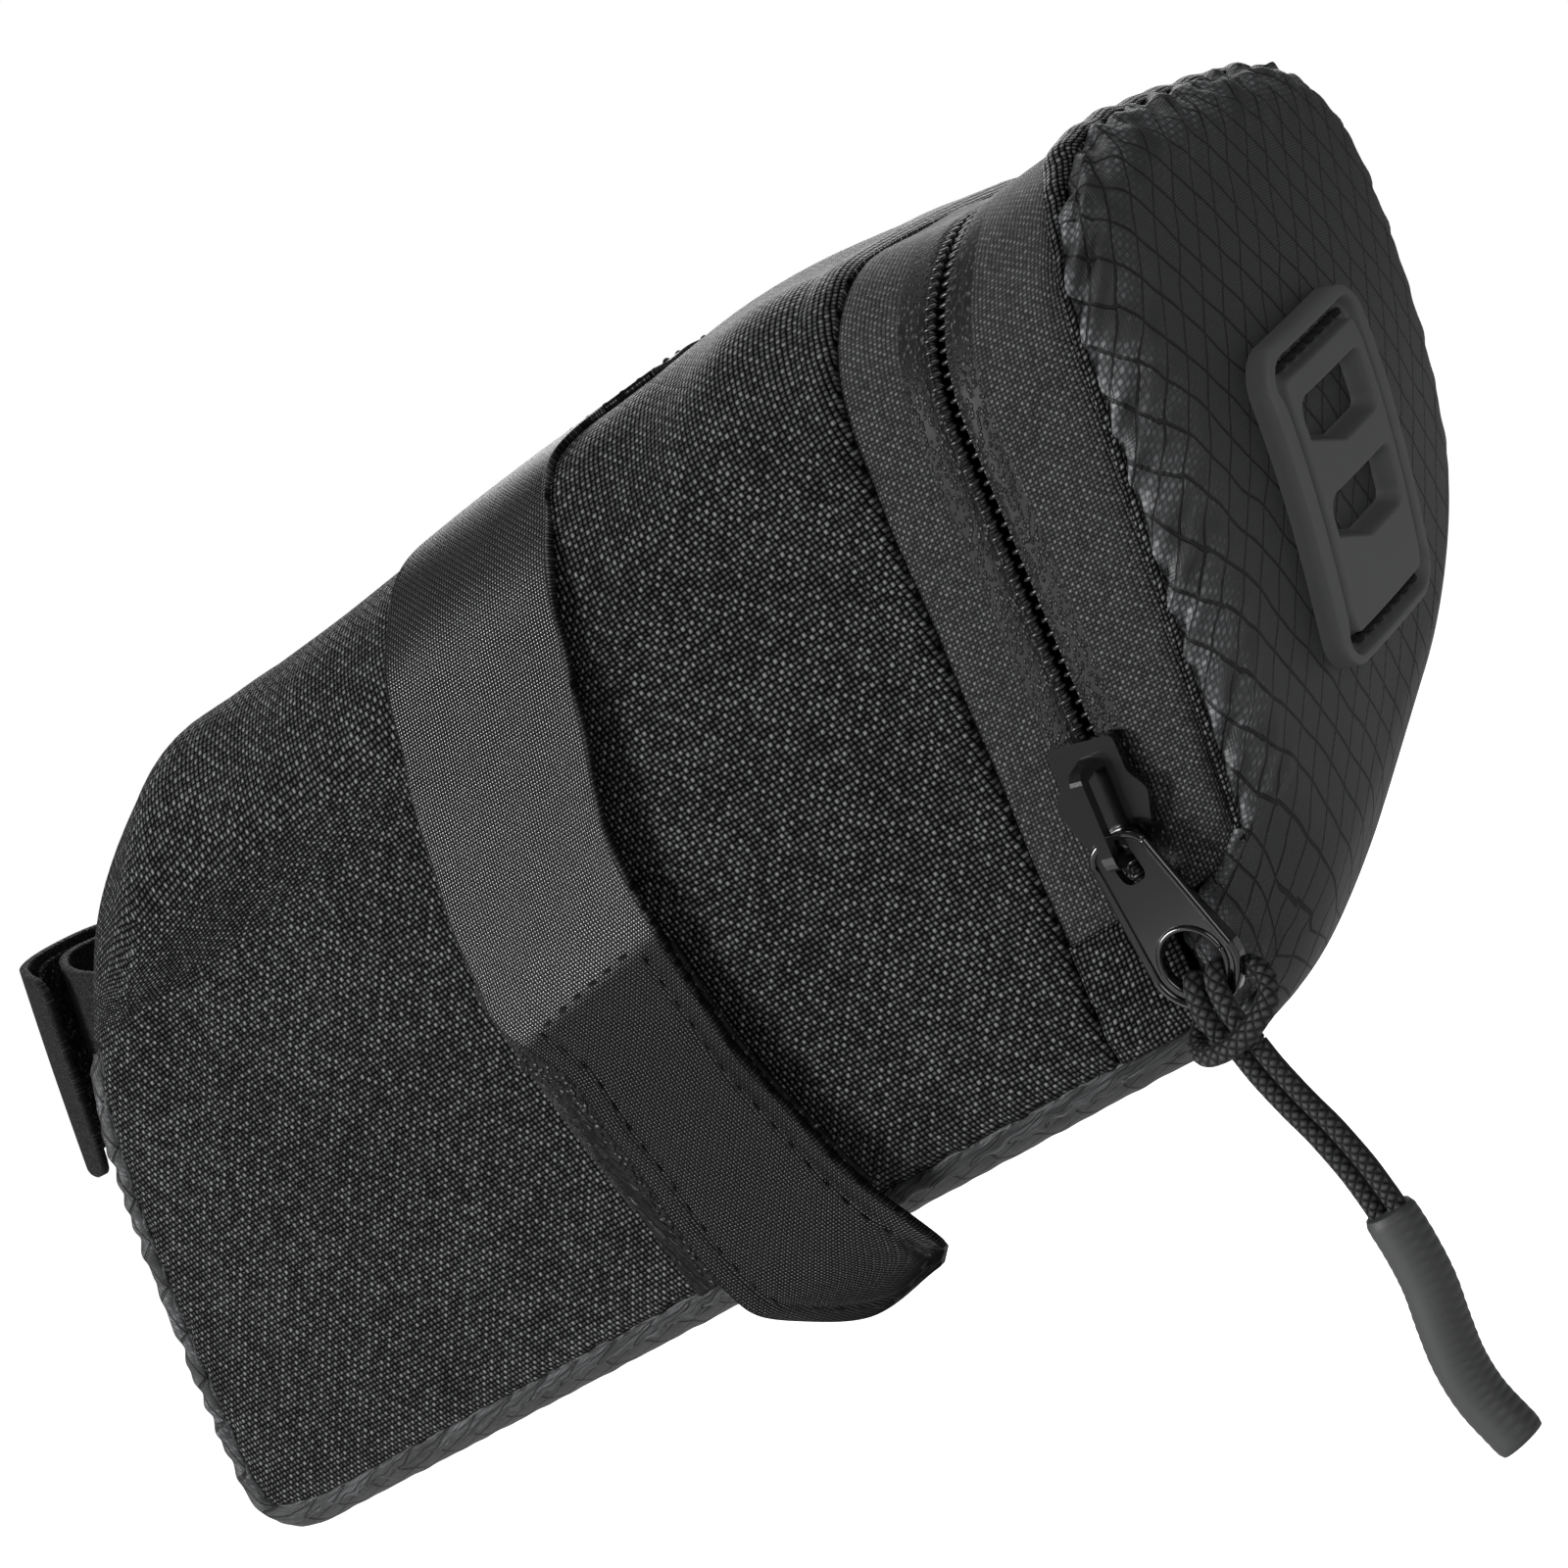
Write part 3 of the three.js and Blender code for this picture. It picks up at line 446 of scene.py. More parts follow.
def weave_nodes(n, given):
    """Plain weave: warp and weft take turns on top, each a short bead."""
    x, y, _ = n.split(given["Cloth"])
    drift = n.math("MULTIPLY", n.math("SUBTRACT", n.noise(given["Cloth"], 0.5, 3.0), 0.5), given["Uneven"])
    u = n.math("ADD", n.math("DIVIDE", x, given["Warp"]), drift)
    v = n.math("SUBTRACT", n.math("DIVIDE", y, given["Weft"]), drift)
    cell_u, cell_v = n.math("FLOOR", u), n.math("FLOOR", v)
    over = n.math("FLOORED_MODULO", n.math("ADD", cell_u, cell_v), 2.0)

    def hill(w):
        """1 in the middle of a thread, 0 at its edges."""
        return n.math("SUBTRACT", 1.0, n.math("POWER", n.math("ABSOLUTE", n.math(
            "SUBTRACT", n.math("MULTIPLY", n.math("FRACT", w), 2.0), 1.0)), 2.0))

    a, b = hill(u), hill(v)
    warp = n.math("MULTIPLY", a, n.math("ADD", 0.15, n.math("MULTIPLY", b, 0.85)))
    weft = n.math("MULTIPLY", b, n.math("ADD", 0.05, n.math("MULTIPLY", a, 0.75)))
    chance = n.add("ShaderNodeTexWhiteNoise", {"Vector": n.join(cell_u, cell_v)},
                   noise_dimensions="3D").outputs[0]
    top = n.mix(over, warp, weft)
    return [top, n.math("MULTIPLY", top, n.mix(over, 1.0, 0.6)), chance]


def ripstop_nodes(n, given):
    """Diamonds of thicker thread over a fine twill."""
    x, y, _ = n.split(given["Cloth"])
    bend = n.math("MULTIPLY", n.math("SUBTRACT", n.noise(given["Cloth"], 0.12, 1.0), 0.5), 0.5)
    u = n.math("ADD", n.math("DIVIDE", x, given["Cell down"]), bend)
    v = n.math("DIVIDE", y, given["Cell across"])

    def thread(w):
        """Distance from a cell's middle, 0.5 at its edges."""
        return n.math("ABSOLUTE", n.math("SUBTRACT", n.math("FRACT", w), 0.5))

    one, two = thread(n.math("ADD", u, v)), thread(n.math("SUBTRACT", u, v))
    line = n.math("MAXIMUM", n.step(one, 0.44, 0.48), n.step(two, 0.44, 0.48))
    fine = n.math("SINE", n.math("MULTIPLY", n.math("ADD", x, n.math("MULTIPLY", y, 0.7)), 14.0))
    cross = n.math("SINE", n.math("MULTIPLY", n.math("SUBTRACT", n.math("MULTIPLY", y, 1.1), x), 9.0))
    fine = n.math("MULTIPLY", n.math("ADD", n.math("MULTIPLY", fine, cross), 1.0), 0.5)
    return [line, fine]


def braid_nodes(n, given):
    """Two sets of strands crossing round a cord: cloth x is along it in mm, y once round it is 1."""
    x, y, _ = n.split(given["Cloth"])
    u = n.math("DIVIDE", x, given["Pitch"])
    v = n.math("MULTIPLY", y, given["Strands"])
    one, two = n.math("FRACT", n.math("ADD", u, v)), n.math("FRACT", n.math("SUBTRACT", u, v))
    hill_one = n.math("SINE", n.math("MULTIPLY", one, math.pi))
    hill_two = n.math("SINE", n.math("MULTIPLY", two, math.pi))
    return [n.math("POWER", n.math("MULTIPLY", hill_one, hill_two), 0.7)]


WEAVE = node_group("plain weave", {"Cloth": (0.0, 0.0, 0.0), "Warp": 0.6, "Weft": 0.6, "Uneven": 0.5},
                   ["Height", "Bead", "Chance"], weave_nodes)
RIPSTOP = node_group("ripstop", {"Cloth": (0.0, 0.0, 0.0), "Cell across": 4.0, "Cell down": 5.8},
                     ["Line", "Fine"], ripstop_nodes)
BRAID = node_group("braid", {"Cloth": (0.0, 0.0, 0.0), "Pitch": 1.6, "Strands": 4.0}, ["Height"],
                   braid_nodes)


def finish(name, build):
    """A material; build gets the node helper, the cloth coordinates and the Principled shader's inputs."""
    material = bpy.data.materials.new(name)
    material.use_nodes = True
    tree = material.node_tree
    tree.nodes.clear()
    n = Nodes(tree)
    shader, out = tree.nodes.new("ShaderNodeBsdfPrincipled"), tree.nodes.new("ShaderNodeOutputMaterial")
    tree.links.new(shader.outputs[0], out.inputs[0])
    cloth = n.add("ShaderNodeAttribute", attribute_name="cloth").outputs["Vector"]
    build(n, cloth, shader.inputs)
    return material


def set_relief(n, shader, height, depth_mm):
    """Bump from height, which runs from 0 to 1, as deep as depth_mm."""
    bump = n.add("ShaderNodeBump", {"Height": height, "Distance": depth_mm * MM, "Strength": 1.0})
    n.put(shader["Normal"], bump.outputs[0])


def group_node(n, tree, **inputs):
    """A node group placed with its own values."""
    node = n.tree.nodes.new("ShaderNodeGroup")
    node.node_tree = tree
    for key, value in inputs.items():
        n.put(node.inputs[key.replace("_", " ")], value)
    return node


def woven(name, warp, weft, dark, light, rough, depth, specular=0.35, uneven=0.5, spread=0.75):
    """Plain-woven cloth: threads of uneven tone, worn in places, with a painted highlight on each thread's
    crown and painted shade between the threads; the cloth's third coordinate makes it darker and matte."""
    def build(n, cloth, shader):
        g = group_node(n, WEAVE, Cloth=cloth, Warp=warp, Weft=weft, Uneven=uneven)
        height, bead, chance = g.outputs
        worn = n.step(n.noise(cloth, 0.06, 4.0), 0.35, 0.7)
        # Painted highlight and shade: each thread's crown (bead) is tinted towards the pale colour and the
        # gaps stay dark; luck adds random tone to each thread.
        luck = n.math("MULTIPLY", n.math("POWER", chance, 1.5), spread * 2)
        lift = n.math("MULTIPLY", n.math("ADD", 1 - spread, luck), n.math("POWER", bead, 1.6))
        shade = n.math("MULTIPLY", n.mix(worn, 0.8, 1.1), n.math("SUBTRACT", 1.0, n.split(cloth)[2]))
        n.put(shader["Base Color"], n.tint(n.math("MULTIPLY", lift, shade), dark, light))
        n.put(shader["Roughness"], rough)
        matte = n.math("SUBTRACT", 1.0, n.math("MULTIPLY", n.split(cloth)[2], 1.3))
        gloss = n.math("MULTIPLY", n.math("POWER", height, 1.5), specular)
        n.put(shader["Specular IOR Level"], n.math("MULTIPLY", gloss, matte))
        set_relief(n, shader, height, depth)
    return finish(name, build)


def ripstop(name, dark, light, across=4.0, down=5.8):
    """Ripstop: dark diamonds over a fine twill; the cloth's third coordinate brings up painted highlights,
    pale glints on the threads' crowns, where the cloth is gathered."""
    def build(n, cloth, shader):
        g = group_node(n, RIPSTOP, Cloth=cloth, Cell_across=across, Cell_down=down)
        line, fine = g.outputs
        gathered = n.split(cloth)[2]
        small = group_node(n, WEAVE, Cloth=cloth, Warp=0.62, Weft=0.62, Uneven=0.5)
        uncovered = n.math("SUBTRACT", 1.0, n.math("MULTIPLY", line, 0.85))
        # Painted highlight: pale glints on the threads' crowns where the cloth is gathered, in patches.
        crown_glint = n.math("MULTIPLY", n.math("POWER", small.outputs[1], 1.2),
                       n.math("MULTIPLY", gathered, uncovered))
        tone = n.math("MULTIPLY", uncovered, n.math("ADD", 0.4, n.math("MULTIPLY", fine, 0.55)))
        cloud = n.step(n.noise(cloth, 0.25, 2.0), 0.35, 0.65)
        base = n.tint(tone, dark, light)
        # Tint towards the painted glint's colour, eight times the pale one.
        n.put(shader["Base Color"], n.tint(n.math("MULTIPLY", crown_glint, cloud), base,
                                           tuple(8.0 * c for c in light)))
        n.put(shader["Roughness"], n.mix(line, 0.5, 0.62))
        n.put(shader["Specular IOR Level"], 0.35)
        height = n.math("ADD", n.math("MULTIPLY", line, -1.0), n.math("MULTIPLY", fine, 0.22))
        set_relief(n, shader, height, 0.16)
    return finish(name, build)


def tape_finish(name):
    """Zip tape: fine ribs, and beside the coil two rows of chain stitch, with painted highlights on their
    crowns and random tone; cloth x is the distance from the coil."""
    def build(n, cloth, shader):
        x, y, _ = n.split(cloth)
        ribs = group_node(n, WEAVE, Cloth=cloth, Warp=0.5, Weft=0.42, Uneven=0.6)
        edge = n.math("ABSOLUTE", x)
        rows = n.math("MULTIPLY", n.step(edge, 1.0, 1.3), n.math("SUBTRACT", 1.0, n.step(edge, 4.0, 4.6)))
        links = n.add("ShaderNodeTexVoronoi", {"Vector": n.join(n.math("MULTIPLY", x, 1.5), y),
                                               "Scale": 1.7})
        chain = n.math("SUBTRACT", 1.0, n.step(links.outputs[0], 0.1, 0.6))
        rib_height, rib_bead, chance = ribs.outputs
        height = n.mix(rows, rib_height, chain)
        # Painted highlight: the ribs' crowns and the stitches' links are tinted pale, scaled by random tone
        # (chance).
        crown_glint = n.math("MULTIPLY", n.math("POWER", rib_bead, 1.4), n.math("ADD", 0.3, chance))
        bright = n.mix(rows, crown_glint, n.math("MULTIPLY", n.math("POWER", chain, 3.0), chance))
        n.put(shader["Base Color"], n.tint(bright, (0.002, 0.002, 0.0022), (0.15, 0.152, 0.156)))
        n.put(shader["Roughness"], 0.55)
        n.put(shader["Specular IOR Level"], 0.3)
        set_relief(n, shader, height, 0.2)
    return finish(name, build)


def plain(name, colour, rough, grain=0.4, depth=0.02, specular=0.5, coat=0.0, metal=0.0, mottle=0.15):
    """A moulded, painted or foamed surface with fine grain and slight mottling."""
    def build(n, cloth, shader):
        spot = n.add("ShaderNodeTexCoord").outputs["Object"]
        fine = n.noise(spot, 1000 / grain, 3.0)
        cloud = n.noise(spot, 90.0, 4.0)
        shade = tuple(c * (1 - mottle) for c in colour)
        n.put(shader["Base Color"], n.tint(cloud, shade, tuple(c * (1 + mottle) for c in colour)))
        n.put(shader["Roughness"], n.mix(cloud, rough * 0.9, min(1.0, rough * 1.12)))
        n.put(shader["Specular IOR Level"], specular)
        n.put(shader["Coat Weight"], coat)
        n.put(shader["Coat Roughness"], 0.06)
        n.put(shader["Metallic"], metal)
        set_relief(n, shader, fine, depth)
    return finish(name, build)


def braided(name, dark, light, pitch, strands):
    """A braided cord or twisted thread: painted highlights on the strands' crowns, painted shade between
    them.
    """
    def build(n, cloth, shader):
        height = group_node(n, BRAID, Cloth=cloth, Pitch=pitch, Strands=strands).outputs[0]
        fibre = n.noise(cloth, 6.0, 3.0)
        # Painted highlight and shade: the strands' crowns are tinted pale and the gaps dark, with random
        # fibre tone.
        n.put(shader["Base Color"], n.tint(n.math("MULTIPLY", n.math("POWER", height, 2.0), fibre), dark,
                                           light))
        n.put(shader["Roughness"], 0.6)
        n.put(shader["Specular IOR Level"], 0.3)
        set_relief(n, shader, height, 0.22)
    return finish(name, build)


def pile_finish(name, dark, light, size):
    """Hook or loop pile: a mass of tiny loops, the tops of some painted pale as glints."""
    def build(n, cloth, shader):
        cells = n.add("ShaderNodeTexVoronoi", {"Vector": cloth, "Scale": 1 / size}, feature="F1")
        spot = n.math("SUBTRACT", 1.0, n.step(cells.outputs[0], 0.1, 0.75))
        chance = n.split(cells.outputs[1])[0]
        # Painted glints: the tops of randomly chosen loops are tinted pale.
        bright = n.math("MULTIPLY", n.math("POWER", spot, 3.0), n.step(chance, 0.3, 1.0))
        n.put(shader["Base Color"], n.tint(bright, dark, light))
        n.put(shader["Roughness"], 0.7)
        n.put(shader["Specular IOR Level"], 0.25)
        set_relief(n, shader, spot, 0.35)
    return finish(name, build)


# For the woven, braided, tape and pile finishes the pale colour is a painted highlight on the crowns of
# threads and loops; for the woven and braided ones the dark colour is painted shade between them.
BODY_CLOTH = woven("coarse woven cloth", 0.62, 0.58, (0.0008, 0.0008, 0.0009), (0.17, 0.173, 0.178),
                   0.42, 0.36, 0.6)
WEBBING = woven("satin webbing", 0.36, 0.4, (0.004, 0.004, 0.0045), (0.055, 0.056, 0.058), 0.3, 0.07, 1.4,
                0.15, 0.3)
LINING = woven("lining cloth", 0.3, 0.3, (0.05, 0.052, 0.055), (0.14, 0.145, 0.15), 0.6, 0.05, 0.3, 0.3, 0.2)
RIP_CLOTH = ripstop("diamond ripstop", (0.0015, 0.0015, 0.0017), (0.036, 0.037, 0.0385))
TAPE = tape_finish("zip tape")
COIL = plain("nylon coil", (0.008, 0.008, 0.009), 0.3, 0.3, 0.01, 0.5)
THREAD = braided("sewing thread", (0.004, 0.004, 0.0045), (0.05, 0.05, 0.052), 0.5, 2.0)
RUBBER = plain("matte rubber", (0.078, 0.079, 0.08), 0.62, 0.25, 0.02, 0.4)
BLACK_METAL = plain("gloss black metal", (0.003, 0.003, 0.0032), 0.2, 0.6, 0.004, 0.5, 0.8)
FOAM = plain("foam", (0.06, 0.061, 0.063), 0.95, 0.7, 0.25, 0.1, mottle=0.3)
BOARD = plain("stiff board", (0.02, 0.02, 0.021), 0.6, 0.5, 0.03)
CORD_BRAID = braided("braided cord", (0.003, 0.003, 0.0033), (0.1, 0.102, 0.105), 1.1, 5.0)
SLEEVE = plain("soft sleeve", (0.045, 0.046, 0.047), 0.55, 0.25, 0.02, 0.4)
PILE_WEB = pile_finish("brushed webbing", (0.008, 0.008, 0.0085), (0.085, 0.085, 0.087), 0.3)
HOOKS = pile_finish("hook pile", (0.002, 0.002, 0.002), (0.2, 0.2, 0.2), 0.5)
LOOPS = pile_finish("loop pile", (0.02, 0.02, 0.021), (0.11, 0.11, 0.112), 0.28)


# ---- the bag's cloth ------------------------------------------------------------------------

def place(obj, body, slot, *nodes):
    """Puts a piece on its body and hides the CAD nodes that it stands for; slot, the finish's name, is not
    used.
    """
    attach(obj, body)
    if nodes:
        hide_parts(*nodes)
    return obj


def body_shell():
    """The coarse cloth: a grid from the hem (s = 0) to the front seam (s = 1), round the section from seam
    to seam."""
    s = np.linspace(0, 1, 150)[:, None]
    t_end, t_front = reach(SEAM_Z), reach(SEAM_TOP)
    t = np.linspace(-t_end, t_end, 241)[None, :]
    y, z = section(t)
    hem = np.stack([zip_x(z) - HEM + 0 * t, y, z], -1)
    low = np.clip((np.abs(t) - t_front) / (t_end - t_front), 0, 1)
    front_low_x, front_low_z = on_seam(low * SEAM_CORNER)
    upper = np.abs(t) < t_front
    share = np.clip(np.abs(t) / t_front, 0, 1)
    front = np.stack([
        np.where(upper, front_x(SEAM_TOP) + FRONT_BULGE * ease(0.8, 1, share), front_low_x),
        np.where(upper, np.sign(t) * 32 * share, np.sign(t) * SIDE),
        np.where(upper, SEAM_TOP, front_low_z)], -1)
    over = ease(t_front + 3, t_front - 16, np.abs(t))[..., None]
    corner = np.stack([np.full(t.shape, -86.0), y * 0.98, z], -1)
    middle = (hem + front) / 2 * (1 - over) + corner * over
    s3 = s[..., None]
    start = (1 - s3) ** 2 * hem + 2 * s3 * (1 - s3) * middle + s3**2 * front
    outer, normal = settle(start)
    cloth = flat_lengths(outer, 120)
    from_hem, from_front = cloth[..., 0], cloth[-1:, :, 0] - cloth[..., 0]
    from_low = np.minimum(cloth[:, -1:, 1] - cloth[..., 1], cloth[..., 1] - cloth[:, :1, 1])
    edge = np.minimum(from_front, from_low)
    along = np.where(from_front < from_low, cloth[..., 1], cloth[..., 0])
    pucker = wander(along, 3, 4.1, 6.7) * 0.22 * np.exp(-edge / 3.0)
    roll_in = -0.5 * np.exp(-edge / 0.8)
    fold = (0.25 * ease(5.2, 4.2, from_hem) - 0.25 * hump(from_hem, 5.0, 0.5)
            - 0.5 * ease(0.9, 0, from_hem) ** 2)
    soft = (wander(cloth[..., 0] + 0.4 * cloth[..., 1], 5, 31, 47, 22)
            * wander(cloth[..., 1], 6, 37, 53)) * 0.35
    lift = pucker + roll_in + fold + soft * ease(0, 12, edge) * ease(0, 8, from_hem)
    outer = outer + normal * lift[..., None]
    inner = outer - normal * 1.0
    straight_down = np.abs(t) + (reach(outer[..., 2]) - np.abs(t)) * ease(38, 50, np.abs(t))
    cloth = np.stack([cloth[..., 0] - hem[..., 0], np.sign(t) * straight_down], -1)
    return place(sheet_mesh("body_cloth", outer, inner, cloth, BODY_CLOTH), "body", "woven_fabric",
                 "body_shell")


def base_strip():
    """The ripstop strip: rows from the top of the front down and back under the bag, columns from seam to
    seam."""
    q = np.linspace(0, SEAM_AT[-1], 330)[:, None]
    seam_x, seam_z = on_seam(q)
    b = np.linspace(-1, 1, 91)[None, :]
    corner_low, corner_high = 50.0, 66.0
    front_share = 1 - ease(corner_low, corner_high, q)
    under_x = seam_x - 2.5 * (1 - ease(-104, -90, seam_x))
    mid_x = front_share * front_x(seam_z) + (1 - front_share) * under_x
    mid_z = front_share * seam_z + (1 - front_share) * BOTTOM
    rise = np.clip((np.abs(b) - 0.86) / 0.14, 0, 1)
    start = np.stack([mid_x + (seam_x - mid_x) * rise, np.clip(b / 0.86, -1, 1) * SIDE + 0 * q,
                      mid_z + (seam_z - mid_z) * rise], -1)
    outer, normal = settle(start)
    cloth = flat_lengths(outer, 45)
    edge = np.minimum(cloth[:, -1:, 1] - cloth[..., 1], cloth[..., 1] - cloth[:, :1, 1])
    pucker = wander(cloth[..., 0], 8, 3.6, 5.3, 7.9) * 0.2 * np.exp(-edge / 5.0)
    outer = outer + normal * (pucker - 0.25)[..., None]
    # Third coordinate: strength of the ripstop's painted glints, near the puckered edges.
    cloth = np.concatenate([cloth, (0.35 * np.exp(-edge / 6.0))[..., None]], -1)
    return place(sheet_mesh("base_cloth", outer, outer - normal * 0.7, cloth, RIP_CLOTH), "body",
                 "ripstop_fabric", "base_panel")


def seam_roll(side, node):
    """A puckered roll of ripstop along the seam: a low arch 3.4 mm wide, its height uneven along its
    length."""
    q = np.linspace(1, SEAM_AT[-1] - 1, 620)[:, None]
    w = np.linspace(0, 1, 11)[None, :]
    seam_x, seam_z = on_seam(q)
    ahead = np.gradient(np.stack([seam_x, seam_z], -1), axis=0)
    ahead /= np.linalg.norm(ahead, axis=-1, keepdims=True)
    out_x, out_z = -ahead[..., 1], ahead[..., 0]
    flip = np.where(out_x * (-40 - seam_x) + out_z * (-45 - seam_z) > 0, -1.0, 1.0)
    uneven = wander(q, 11, 3.2, 4.6, 7.3)
    width = 3.4 + 0.5 * wander(q, 12, 5.1, 9.7)
    away = 0.15 + w * width
    start = np.stack([seam_x + out_x * flip * away, side * SIDE + 0 * away, seam_z + out_z * flip * away],
                     -1)
    surface, normal = settle(start)
    arch = np.sin(math.pi * w) ** 0.7 * (0.85 + 0.16 * uneven + 0.1 * np.sin(q * 2.2 + w * 4)) - 0.25
    outer = surface + normal * arch[..., None]
    # Third coordinate: strength of the ripstop's painted glints along the puckered roll.
    cloth = np.concatenate([flat_lengths(outer), np.full(outer.shape[:2] + (1,), 0.45)], -1)
    obj = sheet_mesh(node, outer, surface - normal * 0.6, cloth, RIP_CLOTH)
    return place(obj, "body", "ripstop_fabric", "seam_roll_" + ("left" if side < 0 else "right"))


# ---- zip ------------------------------------------------------------------------------------

def along_zip(t, offset, depth):
    """Points beside the zip's middle line: t round the section, offset to the rear, depth inside the
    cloth's face."""
    y, z = section(t)
    return settle(np.stack([zip_x(z) + offset, y + 0 * offset, z + 0 * offset], -1), depth)


def zip_tape(name, body, node, near, far, tucked):
    """One tape: from its coil edge to the edge tucked under the next cloth; it dips at both edges."""
    t_end = reach(ZIP_END)
    t = np.linspace(-t_end, t_end, 331)[:, None]
    w = np.linspace(0, 1, 15)[None, :]
    offset = near + (far - near) * w
    dip = 0.25 + 0.45 * (1 - ease(0, 0.06, w)) + (tucked - 0.25) * ease(0.72, 0.92, w)
    wave = 0.12 * wander(t, 21 + int(near > 0), 17, 29) * ease(0.1, 0.5, w)
    if near > 0:
        offset = offset + (band_x(section(t)[1]) - BAND) * w
    outer, normal = along_zip(t, offset, dip + wave)
    cloth = np.stack([offset + 0 * t, t + 0 * w], -1)
    return place(sheet_mesh(name, outer, outer - normal * 0.8, cloth, TAPE), body, "zip_tape", node)


def zip_coil(name, body, node, sign):
    """The coil's edge: a row of small hooked teeth, each an arch from the tape into the zip's middle."""
    t_end = reach(ZIP_END)
    pitch = 1.35
    places = np.arange(-t_end + 1, t_end - 1, pitch) + (pitch / 2 if sign > 0 else 0)
    steps, sides = 6, 6
    bend = np.linspace(0, 1, steps)
    turn = np.linspace(0, 2 * math.pi, sides, endpoint=False)
    t = places[:, None] + 0 * bend[None, :]
    offset = sign * (1.7 - 1.55 * np.sin(bend * math.pi / 1.2)[None, :]) + 0 * t
    centre, normal = along_zip(t, offset, 0.6 + 0.5 * bend[None, :] ** 2)
    across = np.gradient(centre, axis=1)
    across /= np.linalg.norm(across, axis=-1, keepdims=True)
    beside = np.cross(across, normal)
    size = 0.27 * np.array([0.8, 1, 1, 1, 0.9, 0.35])
    ring = (np.cos(turn)[None, None, :, None] * beside[:, :, None] * 0.9
            + np.sin(turn)[None, None, :, None] * normal[:, :, None])
    points = centre[:, :, None] + ring * size[None, :, None, None]
    faces = []
    for k in range(len(places)):
        start = k * steps * sides
        faces.append(grid_faces(steps, sides, start, wrap=True))
        last = start + (steps - 1) * sides
        faces.append(np.array([[start + 3, start + 2, start + 1, start],
                               [start + 5, start + 4, start + 3, start],
                               [last, last + 1, last + 2, last + 3], [last, last + 3, last + 4, last + 5]]))
    cloth = np.zeros((points.reshape(-1, 3).shape[0], 3))
    return place(add_mesh(name, points.reshape(-1, 3), np.vstack(faces), cloth, COIL), body, "zip_coil",
                 node)


def end_tab(side, node):
    """A folded piece of the coarse cloth sewn over the zip's low end."""
    t = np.linspace(reach(-68.6), reach(SEAM_Z + 0.4), 40)[:, None] * side
    w = np.linspace(0, 1, 40)[None, :]
    offset = -HEM + 0.5 + (HEM + 0.4) * w
    down = (np.abs(t) - reach(-68.6)) / (reach(SEAM_Z) - reach(-68.6))
    edge = np.minimum(np.minimum(down * 13, (1 - w) * 12), w * 12)
    lift = 0.55 - 0.5 * np.exp(-edge / 0.45) + 0.12 * wander(t * 1.3 + w * 9, 31, 5, 8)
    outer, normal = along_zip(t, offset, -lift)
    inner = along_zip(t, offset, 0.1)[0]
    cloth = flat_lengths(outer)[..., ::-1] + 3.3
    return place(sheet_mesh(node + "_cloth", outer, inner, cloth, BODY_CLOTH), "body", "woven_fabric", node)


# ---- lid ------------------------------------------------------------------------------------

def rear_cloth():
    """The lid's ripstop: rows from the top band down to the bottom edge, columns from side band to side
    band."""
    rows, columns = 190, 170
    down, wrap_top, wrap_low, wrap_side = 84.0, 9.0, 19.0, 9.0
    b = np.linspace(-wrap_top, down + wrap_low, rows)[:, None]
    a = np.linspace(-SIDE - wrap_side, SIDE + wrap_side, columns)[None, :]
    z = TOP - np.clip(b, 0, down)
    y = np.clip(a, -SIDE, SIDE)
    band = band_x(z) - (BAND - 1.6) * ease(-66.5, -72, z)
    depth_side = rear_x(z) - (zip_x(z) + band)
    back = depth_side * np.clip(np.abs(a) - SIDE, 0, None) / wrap_side
    top_back = (rear_x(TOP) - zip_x(TOP) - band_x(TOP)) * np.clip(-b, 0, None) / wrap_top
    low_back = (rear_x(BOTTOM) - 30.6) * np.clip(b - down, 0, None) / wrap_low
    start = np.stack([rear_x(z) - np.maximum(back, np.maximum(top_back, low_back)), y + 0 * b, z + 0 * a],
                     -1)
    outer, normal = settle(start)
    cloth = flat_lengths(outer, columns // 2)
    side_edge = np.minimum(cloth[:, -1:, 1] - cloth[..., 1], cloth[..., 1] - cloth[:, :1, 1])
    edge = np.minimum(side_edge, cloth[..., 0])
    along = np.where(side_edge < cloth[..., 0], cloth[..., 0], cloth[..., 1])
    gather = np.exp(-(edge / 5.5) ** 2)
    pleat = wander(along + 0.9 * edge, 41, 4.3, 6.1) * 0.45 + wander(along - 0.8 * edge, 42, 5.2) * 0.3
    crease = 0.14 * wander(cloth[..., 1] * 0.5 + cloth[..., 0] * 0.2, 43, 11, 19) * ease(-45, -85, z)
    outer = outer + normal * (gather * (0.45 + pleat) - 0.9 * np.exp(-edge / 0.7) + crease)[..., None]
    # Third coordinate: strength of the ripstop's painted glints in the gathered band.
    cloth = np.concatenate([cloth, (gather * 0.9)[..., None]], -1)
    return place(sheet_mesh("lid_cloth", outer, outer - normal * 0.8, cloth, RIP_CLOTH), "lid",
                 "ripstop_fabric", "rear_panel")


